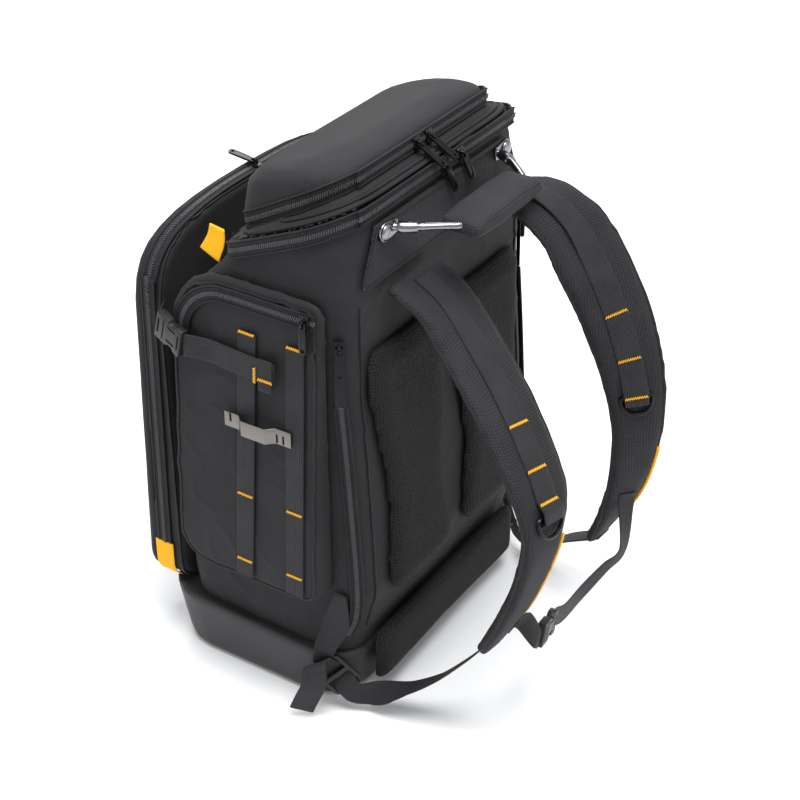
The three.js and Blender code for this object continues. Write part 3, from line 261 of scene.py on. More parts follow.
def embossed(material, main, height, depth, strength=1.0):
    """Relief of this depth in metres on the main shader."""
    bump = node(material, "ShaderNodeBump", {"Distance": depth, "Strength": strength}, {"Height": height})
    join_in(material, main, "Normal", bump.outputs["Normal"])


# A wave texture of scale 1 repeats every 0.31416 m.
WAVE_REPEAT = 0.31416


def woven(name, dark, light, pitch, roughness, depth):
    """Plain woven cloth: yarns at this pitch in metres over and under each other, slightly uneven in tone,
    with painted shade in the hollows between the yarns.
    """
    material, main = surface(name, dark, roughness, sheen_weight=0.03, sheen_roughness=0.45,
                             specular_ior_level=0.22)
    place = node(material, "ShaderNodeUVMap", {"uv_map": "cloth"}).outputs["UV"]
    yarns = [node(material, "ShaderNodeTexWave", {
        "bands_direction": way, "Scale": WAVE_REPEAT / pitch, "Distortion": 0.5, "Detail": 1,
    }, {"Vector": place}).outputs["Fac"] for way in "XY"]
    weave = node(material, "ShaderNodeMath", {"operation": "MULTIPLY"}, {0: yarns[0], 1: yarns[1]})
    embossed(material, main, weave.outputs["Value"], depth)
    ramp = shaded(material, main, dark, light, 0.05)
    # painted shade: the colour is darker in the weave's hollows than on its crests, and also follows the patches
    patches = ramp.inputs["Fac"].links[0].from_socket
    faded = node(material, "ShaderNodeMath", {"operation": "MULTIPLY", 1: 0.6}, {0: patches})
    mixed = node(material, "ShaderNodeMath", {"operation": "MULTIPLY_ADD", 1: 0.5},
                 {0: weave.outputs["Value"], 2: faded.outputs[0]})
    material.node_tree.links.new(mixed.outputs[0], ramp.inputs["Fac"])
    return material


# Ballistic nylon: a coarse flat weave with a dull sheen, dark grey rather than black where the light falls. The
# real yarns lie about 1.3 mm apart, too fine to show here, so the weave is drawn nearly twice as coarse.
ballistic_nylon = woven("ballistic_nylon_cloth", "#1B1B1D", "#2D2D30", 0.0023, 0.7, 0.00045)

# Plain nylon on the large panels: finer yarns and a matt, even face, so the weave only breaks up the light.
plain_nylon = woven("plain_nylon_cloth", "#1C1C1E", "#28282A", 0.0014, 0.72, 0.00015)

FORMS = (
    # piece, node, grid in mm, smoothing rounds
    ("fabric_walls", "main_body", 3.6, 5),
    ("lid_gusset", "main_lid", 2.2, 5),
    ("front_frame", "front_gusset", 4.0, 2),
    ("pocket_right", "side_pocket_right", 3.0, 2),
    ("pocket_left", "side_pocket_left", 3.0, 2),
)
DENTS = (
    # height in mm, size along X, Y and Z in mm, sharpness: broad dents, smaller dents, creases
    (1.6, (90, 90, 130), 0), (0.7, (34, 34, 55), 0), (1.1, (70, 40, 46), 14),
)
surfaces = {}


def remeshed(piece, voxel, rounds):
    """Gives the piece an even mesh on a grid of this size in mm, and rounds its edges."""
    modified(piece, "REMESH", mode="VOXEL", voxel_size=voxel * MM)
    return modified(piece, "SMOOTH", factor=0.5, iterations=rounds)


for piece_name, node_name, grid, rounds in FORMS:
    skin = closed_walls(node_name) if node_name == "main_body" else outer_skin(node_name)
    form = finished(piece_name, skin, plain_nylon, replaces=[node_name])
    # the lid's low gusset has only the smaller dents
    folds = DENTS[1:2] if node_name == "main_lid" else DENTS
    flat_map(crumpled(remeshed(form, grid, rounds), *folds))
    surfaces[node_name] = form


# Moulded shells: the base tray, the lid's dome and the front. Pressed foam under a rubbery skin with a fine
# grain, so their edges are soft and round and they take a broad, dull light.
def grained(name, dark, light, roughness, grain, depth):
    """A moulded or cast skin: small pebbles of this size in metres, with larger darker and lighter patches."""
    material, main = surface(name, dark, roughness, specular_ior_level=0.3)
    place = node(material, "ShaderNodeTexCoord").outputs["Object"]
    pebbles = node(material, "ShaderNodeTexVoronoi", {"Scale": 1 / grain, "feature": "SMOOTH_F1"},
                   {"Vector": place})
    embossed(material, main, pebbles.outputs["Distance"], depth, 0.6)
    shaded(material, main, dark, light, 0.09)
    return material


# Moulded skin: rubbery and matt, so its corners catch only a wide, weak light.
moulded_skin = grained("moulded_foam_shell", "#262628", "#2E2E30", 0.5, 0.0011, 0.00012)
SHELLS = (
    # piece, node, grid in mm, smoothing rounds, cover (the dome and the front are pressed with their cloth on)
    ("tray_shell", "base_tray", 4.0, 3, moulded_skin),
    ("dome_shell", "lid_dome", 3.5, 3, plain_nylon),
    ("front_panel_shell", "front_shell", 3.5, 3, plain_nylon),
)
SHELL_DENTS = (0.5, (120, 120, 90), 0)
for piece_name, node_name, grid, rounds, cover in SHELLS:
    form = finished(piece_name, outer_skin(node_name), cover, replaces=[node_name])
    flat_map(crumpled(remeshed(form, grid, rounds), SHELL_DENTS))
    surfaces[node_name] = form


# Webbing: flat woven nylon bands, ribbed along their length and a little thinner at their edges. They are sewn
# down on the pockets and the strap pads, or hang between the strap ends, their ladder locks and their buckle.
def rings_of(name, count, facing):
    """(middle, width direction, outward direction, width) of each ring of a CAD strip, end to end."""
    shape = raw_shape(name)
    cap = next(v for v in shape.verts if len(v.link_edges) == count and (
        sum((e.other_vert(v).co for e in v.link_edges), Vector()) / count - v.co).length < SAME_PLACE)
    seen, ring, rings = {cap}, [e.other_vert(cap) for e in cap.link_edges], []
    while len(ring) == count:
        rings.append(np.array([v.co[:] for v in ring]))
        seen.update(ring)
        ring = list({e.other_vert(v) for v in ring for e in v.link_edges} - seen)
    shape.free()
    middles = [Vector(ring.mean(axis=0)) for ring in rings]
    rows, before = [], Vector(facing)
    for i, ring in enumerate(rings):
        along = (middles[min(i + 1, len(rings) - 1)] - middles[max(i - 1, 0)]).normalized()
        across = Vector(np.linalg.svd(ring - ring.mean(axis=0))[2][0])
        across = (across - along * along.dot(across)).normalized()
        out = along.cross(across)
        if out.dot(before) < 0:
            across, out = -across, -out
        spread = [(Vector(p) - middles[i]).dot(across) for p in ring]
        rows.append((middles[i], across, out, max(spread) - min(spread)))
        before = out
    return rows


def eased(rows, step):
    """The rows again at about this step in metres, on a smooth curve through them."""
    fine = []
    last = len(rows) - 1
    for i in range(last):
        a, b, c, d = (Vector(rows[min(max(k, 0), last)][0]) for k in (i - 1, i, i + 1, i + 2))
        steps = max(1, round((c - b).length / step))
        for t in [k / steps for k in range(steps + (i == last - 1))]:
            bend, twist = a * 2 - b * 5 + c * 4 - d, b * 3 - a - c * 3 + d
            at = (b * 2 + (c - a) * t + bend * t * t + twist * t ** 3) / 2
            across = rows[i][1].lerp(rows[i + 1][1], t).normalized()
            out = rows[i][2].lerp(rows[i + 1][2], t)
            out = (out - across * out.dot(across)).normalized()
            fine.append((at, across, out, rows[i][3] + (rows[i + 1][3] - rows[i][3]) * t))
    return fine


# The section of a band, as shares of its width and thickness.
BAND_SECTION = (
    (-0.5, -0.25), (-0.5, 0.25), (-0.43, 0.5), (-0.2, 0.5), (0.2, 0.5), (0.43, 0.5),
    (0.5, 0.25), (0.5, -0.25), (0.43, -0.5), (-0.43, -0.5),
)


def band(rows, thickness, section=BAND_SECTION, shape=None):
    """A closed flat band through rows of (middle, width direction, outward direction, width), with a UV map
    in metres across and along it."""
    shape = shape or bmesh.new()
    layer = shape.loops.layers.uv.get("cloth") or shape.loops.layers.uv.new("cloth")
    rings, lengths, length = [], [], 0
    for i, (at, across, out, width) in enumerate(rows):
        length += (at - rows[i - 1][0]).length if i else 0
        lengths.append(length)
        rings.append([shape.verts.new(at + across * u * width + out * v * thickness) for u, v in section])
    for i in range(len(rings) - 1):
        for k in range(len(section)):
            j = (k + 1) % len(section)
            face = shape.faces.new((rings[i][k], rings[i][j], rings[i + 1][j], rings[i + 1][k]))
            for loop, (row, column) in zip(face.loops, ((i, k), (i, j), (i + 1, j), (i + 1, k))):
                loop[layer].uv = (section[column][0] * rows[row][3], lengths[row])
    shape.faces.new(rings[0][::-1])
    shape.faces.new(rings[-1])
    bmesh.ops.recalc_face_normals(shape, faces=shape.faces)
    return shape


def ribbed(name, dark, light, pitch, roughness, depth):
    """Webbing: ribs at this pitch in metres run its length, with fine weft lines across them."""
    material, main = surface(name, dark, roughness, sheen_weight=0.02, sheen_roughness=0.4,
                             specular_ior_level=0.25)
    place = node(material, "ShaderNodeUVMap", {"uv_map": "cloth"}).outputs["UV"]
    ribs, weft = (node(material, "ShaderNodeTexWave", {
        "bands_direction": way, "Scale": WAVE_REPEAT / size, "Distortion": 0.3,
    }, {"Vector": place}).outputs["Fac"] for way, size in (("X", pitch), ("Y", pitch / 2)))
    mixed = node(material, "ShaderNodeMath", {"operation": "MULTIPLY"}, {0: ribs, 1: weft})
    join = node(material, "ShaderNodeMath", {"operation": "ADD"}, {0: mixed.outputs[0], 1: ribs})
    embossed(material, main, join.outputs[0], depth)
    shaded(material, main, dark, light, 0.03)
    return material


# Nylon webbing: black with a faint grey lustre on its ribs, which lie 2.1 mm apart.
nylon_webbing = ribbed("ribbed_nylon_webbing", "#1D1D1F", "#27272A", 0.0021, 0.58, 0.0003)
WEBS = (
    # node, the way that its face looks
    ("molle_front_right", (1, 0, 0)), ("molle_rear_right", (1, 0, 0)),
    ("molle_front_left", (-1, 0, 0)), ("molle_rear_left", (-1, 0, 0)),
    ("compression_strap_front", (1, 0, 0)), ("compression_strap_rear", (1, 0, 0)), ("tape_loop", (1, 0, 0)),
    ("strap_webbing_right", (0, -0.1, 1)), ("strap_webbing_left", (0, -0.1, 1)),
    ("adjuster_webbing_right", (0, 1, -1)), ("adjuster_webbing_left", (0, 1, -1)),
    ("sternum_webbing_right", (0, 1, 0)), ("sternum_webbing_left", (0, 1, 0)),
)
STRIP_CORNERS, WEB_THICKNESS, SEWN_IN = 4, 1.6 * MM, 12 * MM
courses = {}
for node_name, facing in WEBS:
    rows = eased(rings_of(node_name, STRIP_CORNERS, facing), 4 * MM)
    if node_name.startswith("adjuster"):
        # its upper end is sewn between the two faces of the strap pad
        rows = rows if rows[0][0].z > rows[-1][0].z else rows[::-1]
        reach = (rows[0][0] - rows[2][0]).normalized() * SEWN_IN
        rows = [(rows[0][0] + reach, *rows[0][1:])] + rows
    courses[node_name] = rows
    finished(node_name + "_band", band(rows, WEB_THICKNESS), nylon_webbing, replaces=[node_name])
for side, sign in SIDES:
    rows = eased(rings_of("wing_" + side, STRIP_CORNERS, (sign, 0, 0)), 6 * MM)
    finished("strap_wing_" + side, band(rows, WEB_THICKNESS), ballistic_nylon,
             replaces=["wing_" + side])


# Yellow cloth: tags at the front ends of the lid zip and patches round the lower corners of the front. They are
# cut from thin nylon, folded over and sewn into the seams.

# Yellow nylon: a fine, matt weave in a warm yellow, which shows no yarns from here.
yellow_cloth = woven("yellow_nylon_cloth", "#E9A70F", "#F2B317", 0.0012, 0.7, 0.0002)
for side, sign in SIDES:
    for label in ("lid_tag_", "corner_patch_"):
        rows = eased(rings_of(label + side, STRIP_CORNERS, (sign, 0, 0)), 3 * MM)
        finished(label + "cloth_" + side, band(rows, WEB_THICKNESS), yellow_cloth,
                 replaces=[label + side])


# Zips round the lid, the dome, the front and the pockets, and down the rear edges. Woven tape is sewn in along
# both of its edges, with a coil of small nylon teeth along its middle and a cast slider on it.

# Zip tape: fine ribs and a matt black. Coil: nylon, a little shiny, and painted greyer than the tape as a
# painted sheen along its teeth. Slider: blackened zinc, with a dim metal gloss.
zip_tape = ribbed("woven_zip_tape", "#18181A", "#202022", 0.0012, 0.65, 0.0002)
# painted sheen: the coil's grey colour stands for the light along its teeth
zip_coil, _ = surface("nylon_zip_coil_painted_sheen", "#4A4A4E", 0.4, specular_ior_level=0.3)
dark_metal = grained("blackened_metal", "#1A1A1C", "#232326", 0.28, 0.004, 0.00005)
dark_metal.node_tree.nodes["Principled BSDF"].inputs["Metallic"].default_value = 0.7
BAG_MIDDLE = Vector((0, 0, 0.26))
TAPE_THICKNESS, SAME_LENGTH = 1.4 * MM, 0.1 * MM


def zip_rows(name, width):
    """Rows along the middle of a CAD zip band of this width, from its cross edges on both of its faces."""
    shape = raw_shape(name)
    ends = [[v.co.copy() for v in e.verts] for e in shape.edges if abs(e.calc_length() - width) < SAME_LENGTH]
    spots = [((start + end) / 2, (end - start).normalized()) for start, end in ends]
    shape.free()
    pairs = []
    while spots:
        at, across = spots.pop()
        near = [s for s in spots if abs((s[0] - at).length - TAPE_THICKNESS) < SAME_LENGTH]
        near.sort(key=lambda s: -abs(s[1].dot(across)))
        for other in near[:1]:
            spots.remove(other)
            out = (at - other[0]).normalized()
            middle = (at + other[0]) / 2
            pairs.append((middle, across, out if out.dot(middle - BAG_MIDDLE) > 0 else -out, width))
    middle = sum((row[0] for row in pairs), Vector()) / len(pairs)
    line = [pairs.pop(max(range(len(pairs)), key=lambda i: (pairs[i][0] - middle).length))]
    while pairs:
        nearest = min(range(len(pairs)), key=lambda i: (pairs[i][0] - line[-1][0]).length)
        at, across, out, _ = pairs.pop(nearest)
        line.append((at, across if across.dot(line[-1][1]) > 0 else -across, out, width))
    return line


TOOTH_PITCH, TOOTH_LONG, TOOTH_THICK, TOOTH_TALL = 2.0 * MM, 2.0 * MM, 0.84 * MM, 1.2 * MM
TOOTH_ASIDE, TOOTH_LIFT = 1.0 * MM, 1.1 * MM


def coil(rows):
    """Two rows of small teeth that close on each other along the middle of a zip."""
    shape = bmesh.new()
    size = Matrix.Diagonal((TOOTH_LONG, TOOTH_THICK, TOOTH_TALL, 1))
    travelled, before = TOOTH_PITCH, None
    for at, across, out, _ in eased(rows, 0.4 * MM):
        travelled += (at - before).length if before else 0
        before = at
        if travelled < TOOTH_PITCH:
            continue
        travelled = 0
        along = across.cross(out)
        turn = Matrix((across, along, out)).transposed().to_4x4()
        for way in (-1, 1):
            spot = at + across * way * TOOTH_ASIDE + out * TOOTH_LIFT + along * way * TOOTH_PITCH / 4
            bmesh.ops.create_cube(shape, size=1, matrix=Matrix.Translation(spot) @ turn @ size)
    return shape


ZIPS = (
    # node, band width in mm
    ("lid_zip", 13), ("dome_zip", 13), ("front_zip", 13), ("pocket_zip_right", 13), ("pocket_zip_left", 13),
    ("gusset_zip_right", 10), ("gusset_zip_left", 10),
)
SLIDER_LIFT = 0.9 * MM
zip_edges = {}
for node_name, width in ZIPS:
    rows = zip_rows(node_name, width * MM)
    fine = eased(rows, 6 * MM)
    finished(node_name + "_tape", band(fine, 1.2 * MM), zip_tape, replaces=[node_name])
    finished(node_name + "_coil", coil(rows), zip_coil, smooth=False)
    tree = BVHTree.FromPolygons([row[0] for row in fine], [(i, i + 1, i + 1) for i in range(len(fine) - 1)])
    zip_edges[node_name] = [[at + across * way * (width / 2 + 0.6) * MM + out * 0.3 * MM
                             for at, across, out, _ in fine] for way in (-1, 1)]
    # the slider is what stands above the tape in the CAD band
    slider = raw_shape(node_name)
    tape = []
    for face in slider.faces:
        middle = face.calc_center_median()
        index = tree.find_nearest(middle)[2]
        if (middle - fine[index][0]).dot(fine[index][2]) < SLIDER_LIFT:
            tape.append(face)
    bmesh.ops.delete(slider, geom=tape, context="FACES")
    piece = finished(node_name + "_slider", slider, dark_metal)
    modified(piece, "BEVEL", width=0.35 * MM, segments=2, affect="EDGES", limit_method="ANGLE",
             profile=0.5, material=-1)


# Zip pulls and D-rings, cast in zinc and blackened. A pull swings on its slider's eye and a D-ring in a loop of the
# strap's webbing, so each keeps its own body.
PULLS = ["lid_pull_right", "lid_pull_left", "dome_pull_right", "dome_pull_left", "front_pull",
         "pocket_pull_right", "pocket_pull_left", "gusset_pull_right", "gusset_pull_left"]


def hard_copy(name, node_name, material, width, body="bag", segments=2):
    """A CAD solid again with small rounded edges."""
    shape = raw_shape(node_name)
    bmesh.ops.dissolve_limit(shape, angle_limit=math.radians(2), verts=shape.verts, edges=shape.edges)
    piece = finished(name, shape, material, body=body, replaces=[node_name])
    return modified(piece, "BEVEL", width=width * MM, segments=segments, affect="EDGES", limit_method="ANGLE",
                    profile=0.5, material=-1, angle_limit=math.radians(25), harden_normals=False)


for node_name in PULLS:
    hard_copy(node_name + "_tab", node_name, dark_metal, 0.4, body=node_name)
for side, _ in SIDES:
    ring = finished("d_ring_wire_" + side, raw_shape("d_ring_" + side), dark_metal, body="d_ring_" + side,
                    replaces=["d_ring_" + side])
    modified(ring, "SUBSURF", levels=2, render_levels=2)


# Shoulder straps. Foam between ballistic nylon above and spacer mesh below, bound with woven tape along both
# edges. The pad swells between them, and is stiff enough to stand in a bow.
def spacer(name, dark, light, cell, roughness, depth):
    """Open knitted spacer mesh: rows of small round holes at this spacing in metres, with painted shade inside
    them.
    """
    material, main = surface(name, dark, roughness, sheen_weight=0.02, sheen_roughness=0.6, specular_ior_level=0.15)
    place = node(material, "ShaderNodeUVMap", {"uv_map": "cloth"}).outputs["UV"]
    holes = node(material, "ShaderNodeTexVoronoi", {
        "Scale": 1 / cell, "voronoi_dimensions": "2D", "Randomness": 0.25}, {"Vector": place})
    edge = node(material, "ShaderNodeMapRange", {"From Min": 0.15, "From Max": 0.45},
                {"Value": holes.outputs["Distance"]})
    embossed(material, main, edge.outputs["Result"], depth)
    # painted shade: the middle of each hole is coloured darker than the yarn round it
    ramp = node(material, "ShaderNodeValToRGB", {}, {"Fac": edge.outputs["Result"]})
    ramp.color_ramp.elements[0].color, ramp.color_ramp.elements[1].color = linear(dark), linear(light)
    join_in(material, main, "Base Color", ramp.outputs["Color"])
    return material


# Spacer mesh: dull black knit with holes 3.2 mm apart, with painted shade in them that keeps them darker
# than the yarn round them.
spacer_mesh = spacer("knitted_spacer_mesh_painted_hole_shade", "#0B0B0C", "#1E1E20", 0.0032, 0.8, 0.0009)
# Binding: narrow ribbed tape, a shade darker than the cloth that it folds round.
binding = ribbed("woven_edge_binding", "#161618", "#1F1F21", 0.0016, 0.6, 0.0002)


PRESSURE, CLOTH_STIFFNESS, SETTLING_FRAMES = 3, 12, 20


def puffed(piece, voxel, cap):
    """Cloth under pressure: the padded piece swells off its own shape, by no more than the cap in mm."""
    modified(piece, "REMESH", mode="VOXEL", voxel_size=voxel * MM)
    start = [v.co.copy() for v in piece.data.vertices]
    cloth = piece.modifiers.new("padding", "CLOTH")
    settings = cloth.settings
    settings.quality, settings.mass = 5, 0.3
    settings.tension_stiffness = settings.compression_stiffness = settings.shear_stiffness = CLOTH_STIFFNESS
    settings.bending_stiffness = 0.5
    settings.use_pressure, settings.uniform_pressure_force = True, PRESSURE
    settings.effector_weights.gravity = 0
    scene = bpy.context.scene
    for frame_number in range(1, SETTLING_FRAMES + 1):
        scene.frame_set(frame_number)
    graph = bpy.context.evaluated_depsgraph_get()
    ended = piece.evaluated_get(graph).to_mesh()
    swollen = [v.co.copy() for v in ended.vertices]
    piece.evaluated_get(graph).to_mesh_clear()
    piece.modifiers.clear()
    scene.frame_set(1)
    for vertex, before, after in zip(piece.data.vertices, start, swollen):
        move = after - before
        vertex.co = before + (move * min(1, cap * MM / move.length) if move.length > 1e-9 else move)
    modified(piece, "SMOOTH", factor=0.5, iterations=4)
    return modified(piece, "SUBSURF", levels=1, render_levels=1)


def outer_tree(*pieces):
    """A search tree over pieces, to set trim and stitches on their surface."""
    shape = bmesh.new()
    for piece in pieces:
        shape.from_mesh(piece.data)
    tree = BVHTree.FromBMesh(shape)
    shape.free()
    return tree


def cords(points_list, radius):
    """Round piping along lists of points, as one shape with a UV map in metres round and along it."""
    shape = bmesh.new()
    section = [(0.5 * math.cos(k * math.pi / 4), 0.5 * math.sin(k * math.pi / 4)) for k in range(8)]
    for points in points_list:
        rows, before = [], None
        for i, at in enumerate(points):
            along = (points[min(i + 1, len(points) - 1)] - points[max(i - 1, 0)]).normalized()
            out = before or (Vector((0, 0, 1)) if abs(along.z) < 0.9 else Vector((0, 1, 0)))
            out = (out - along * out.dot(along)).normalized()
            before = out
            rows.append((at, along.cross(out).normalized(), out, radius * 2))
        band(eased(rows, 4 * MM), radius * 2, section, shape)
    return shape


STRAP_CORNERS, BINDING_REACH, BINDING_RADIUS = 10, 3 * MM, 2.0 * MM
for side, _ in SIDES:
    name = "shoulder_strap_" + side
    rows = eased(rings_of(name, STRAP_CORNERS, (0, -0.1, 1)), 8 * MM)
    courses[name] = rows
    pad = finished("strap_pad_" + side, raw_shape(name), ballistic_nylon, replaces=[name])
    flat_map(puffed(pad, 4, 1.6))
    pad.data.materials.append(spacer_mesh)
    middles = BVHTree.FromPolygons([row[0] for row in rows], [(i, i + 1, i + 1) for i in range(len(rows) - 1)])
    for polygon in pad.data.polygons:
        _, _, index, _ = middles.find_nearest(polygon.center)
        at, across, out, width = rows[index]
        inside = abs((polygon.center - at).dot(across)) < width / 2 - BINDING_REACH
        polygon.material_index = int(polygon.normal.dot(out) < -0.25 and inside)
    pad_tree = outer_tree(pad)
    edges = [[pad_tree.find_nearest(at + across * way * width / 2)[0] for at, across, _, width in rows[1:-1]]
             for way in (-1, 1)]
    finished("strap_binding_" + side, cords(edges, BINDING_RADIUS), binding)


# Back panel: two tall pads and a lumbar roll of foam under coarse spacer mesh. They are sewn down round their
# edges, so they swell in the middle.
for node_name in ("back_pad_right", "back_pad_left", "lumbar_pad"):
    pad = finished(node_name + "_foam", raw_shape(node_name), spacer_mesh,
                   replaces=[node_name])
    flat_map(puffed(pad, 4, 1.5))


# Yoke above the straps: doubled nylon, bound along its edge and sewn to the back of the body, where the straps
# and the handle pull on it, so it is slightly rippled.
yoke = finished("yoke_cloth", raw_shape("yoke_panel"), ballistic_nylon, replaces=["yoke_panel"])
flat_map(crumpled(remeshed(yoke, 2.5, 1), (0.6, (40, 30, 24), 0)))


# Handle: a steel cable with chromed ferrules and eyes, held by two rivets through the yoke, in a padded nylon
# wrap that is sewn shut below.
def polished(name, colour, roughness):
    """Polished steel: bright and smooth, with faint uneven gloss from handling."""
    material, main = surface(name, colour, roughness, metallic=1)
    place = node(material, "ShaderNodeTexCoord").outputs["Object"]
    smears = node(material, "ShaderNodeTexNoise", {"Scale": 30, "Detail": 2}, {"Vector": place})
    spread = node(material, "ShaderNodeMapRange", {
        "To Min": roughness * 0.85, "To Max": roughness * 1.15}, {"Value": smears.outputs["Fac"]})
    join_in(material, main, "Roughness", spread.outputs["Result"])
    return material


# Polished steel: bright and nearly mirror-like, so it mostly shows the pale room.
polished_steel = polished("polished_steel", "#8D8E91", 0.24)
cable = finished("steel_cable", raw_shape("handle_cable"), polished_steel,
                 replaces=["handle_cable"])
modified(cable, "BEVEL", width=0.3 * MM, segments=2, affect="EDGES", limit_method="ANGLE", profile=0.5,
         material=-1, angle_limit=math.radians(50))
for side, _ in SIDES:
    hard_copy("rivet_" + side, "handle_rivet_" + side, polished_steel, 0.5, segments=3)
grip = finished("grip_wrap", raw_shape("handle_grip"), ballistic_nylon, replaces=["handle_grip"])
flat_map(puffed(grip, 3, 2))


# Hardware: side release buckles and ladder locks moulded in black acetal and threaded on their webbing, and a
# clip for tape, stamped from steel sheet with slots near its ends, which hangs on the right pocket's webbing.

# Acetal: dense, smooth plastic with a soft gloss and a very fine mould grain.
acetal = grained("black_moulded_acetal", "#141416", "#1B1B1D", 0.4, 0.0009, 0.00004)
for node_name in ("side_buckle", "sternum_buckle", "ladder_lock_right", "ladder_lock_left"):
    hard_copy(node_name + "_body", node_name, acetal, 0.9, segments=3)
# Stamped steel: duller and warmer than the polished cable.
stamped_steel = polished("stamped_steel", "#76716C", 0.34)
hard_copy("tape_clip_steel", "tape_clip", stamped_steel, 0.4)
clip_shape = raw_shape("tape_clip")
clip_tree = BVHTree.FromBMesh(clip_shape)
clip_shape.free()
SLOT_PLACES = ((-7, 321), (52, 316), (45, 316))
SLOT_DEEP, SLOT_WIDE, SLOT_TALL = 0.5 * MM, 1.8 * MM, 9 * MM
slots = bmesh.new()
for y, z in SLOT_PLACES:
    face_of_clip = clip_tree.ray_cast(Vector((0.3, y * MM, z * MM)), Vector((-1, 0, 0)))[0]
    size = Matrix.Diagonal((SLOT_DEEP, SLOT_WIDE, SLOT_TALL, 1))
    bmesh.ops.create_cube(slots, size=1, matrix=Matrix.Translation(face_of_clip) @ size)
# Slots: the shade inside them, black and without gloss.
slot_black, _ = surface("shadow_in_stamped_slots", "#0A0A0B", 0.8, specular_ior_level=0.1)
finished("tape_clip_slots", slots, slot_black, smooth=False)


# Gaps in the side release buckles: the long slots beside the prongs, the joint between the two moulded halves
# and the bars at both ends, where the webbing goes in. They are dark, because little light gets into them.
gap_black, _ = surface("shadowed_acetal", "#050506", 0.7, specular_ior_level=0.1)
BUCKLES = (
    # centre, direction along the webbing, outward direction, length and width in mm
    ("side_buckle", (182.6, -72, 388), (0.24, 0.93, -0.28), (0.97, -0.24, 0), 36, 30),
    ("sternum_buckle", (60, 262, 106), (-0.95, -0.16, -0.26), (0, 1, 0), 40, 25),
)
BUCKLE_GAPS = (
    # place along and across as shares of the buckle, length as a share, width in mm
    (0.12, -0.26, 0.3, 1.6), (0.12, 0.26, 0.3, 1.6),
    (-0.2, 0, 0.03, 22), (0.4, 0, 0.05, 16), (-0.4, 0, 0.05, 16),
)
GAP_LIFT, GAP_DEEP = 4 * MM, 0.5 * MM
for node_name, centre, along, out, length, width in BUCKLES:
    along = Vector(along).normalized()
    out = (Vector(out) - along * Vector(out).dot(along)).normalized()
    across = out.cross(along)
    turn = Matrix((along, across, out)).transposed().to_4x4()
    gaps = bmesh.new()
    for u, v, long, wide in BUCKLE_GAPS:
        spot = Vector(centre) * MM + along * u * length * MM + across * v * width * MM + out * GAP_LIFT
        size = Matrix.Diagonal((long * length * MM, wide * MM, GAP_DEEP, 1))
        bmesh.ops.create_cube(gaps, size=1, matrix=Matrix.Translation(spot) @ turn @ size)
    finished(node_name + "_gaps", gaps, gap_black, smooth=False)


# Piping: a thin cord in black nylon tape. It is sewn into the seams round the pockets, both rims of the front
# frame, the rear corners of the body, the rim under the lid, the top of the tray, the yoke and along every zip.
def resampled(points, step):
    """The points again at about this step in metres along straight lines."""
    fine = []
    for a, b in zip(points, points[1:]):
        count = max(1, round((b - a).length / step))
        fine += [a.lerp(b, k / count) for k in range(count)]
    return fine + [points[-1]]


def outline(*corners):
    """A closed outline in metres through corners in mm, each with the radius that rounds it."""
    points = []
    for i, (u, v, radius) in enumerate(corners):
        here = Vector((u, v))
        start = here + (Vector(corners[i - 1][:2]) - here).normalized() * radius
        end = here + (Vector(corners[(i + 1) % len(corners)][:2]) - here).normalized() * radius
        points += [start.lerp(here, k / 6).lerp(here.lerp(end, k / 6), k / 6) * MM for k in range(7)]
    return resampled(points + points[:1], 7 * MM)


def laid_on(tree, points, lift):
    """Each point moved to the nearest place on the surface and lifted off it by this much in mm."""
    spots = [tree.find_nearest(Vector(point)) for point in points]
    return [place + normal * lift * MM for place, normal, _, _ in spots]


LINE_SMOOTHING = 10


def round_about(tree, height, slope, lift, count=120):
    """A closed line round the surface where a plane at this height, rising towards the back, cuts it."""
    line = []
    for k in range(count):
        turn = k * math.tau / count
        reach = Vector((math.cos(turn), math.sin(turn), math.sin(turn) * slope))
        middle = Vector((0, 0, height))
        hit = tree.ray_cast(middle + reach * 0.5, -reach)[0]
        if hit:
            line.append(hit + reach.normalized() * lift * MM)
    for _ in range(LINE_SMOOTHING):
        line = [(line[i - 1] + here * 2 + line[(i + 1) % len(line)]) / 4 for i, here in enumerate(line)]
    return line + line[:1]


walls = outer_tree(surfaces["main_body"])
rim_tree = outer_tree(surfaces["main_body"], surfaces["main_lid"])
frame_tree = outer_tree(surfaces["front_gusset"])
tray_tree = outer_tree(surfaces["base_tray"])
yoke_tree = outer_tree(yoke)
SEAM_RADIUS, RIM_RADIUS, ZIP_EDGE_RADIUS = 1.5 * MM, 2.6 * MM, 1.1 * MM
FRAME_OUTLINE = outline((-164, 75, 24), (164, 75, 24), (164, 472, 74), (-164, 472, 74))
FRAME_SEAMS = (-99 * MM, -128 * MM)
POCKET_OUTLINE = outline((-76, 142, 32), (84, 142, 18), (84, 452, 15), (-76, 452, 60))
YOKE_OUTLINE = outline((-139, 461, 4), (139, 461, 4), (111, 513, 4), (-111, 513, 4))
TRAY_SEAM_DROP = 5 * MM
piping = [laid_on(frame_tree, [(x, depth, z) for x, z in FRAME_OUTLINE], 0.4) for depth in FRAME_SEAMS]
rim_height = RIM_HEIGHT - RIM_BACK * RIM_SLOPE
rim_cords = [round_about(rim_tree, rim_height + lift * MM, RIM_SLOPE, 0.6, 240) for lift in (-1, 3, 7)]
tray_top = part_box("base_tray")[1][2]
piping.append(round_about(tray_tree, tray_top - TRAY_SEAM_DROP, 0, 0.2))
for side, sign in SIDES:
    pocket_tree = outer_tree(surfaces["side_pocket_" + side])
    piping.append(laid_on(pocket_tree, [(sign * 0.19, y, z) for y, z in POCKET_OUTLINE], 0.4))
    rear_corner = [Vector((sign * 0.138, 0.115, z * MM)) for z in range(92, 452, 8)]
    piping.append(laid_on(walls, rear_corner, 0.4))
piping.append(laid_on(yoke_tree, [(x, 0.114, z) for x, z in YOKE_OUTLINE], 0.3))
finished("seam_piping", cords(piping, SEAM_RADIUS), binding)
finished("rim_piping", cords(rim_cords, RIM_RADIUS), binding)
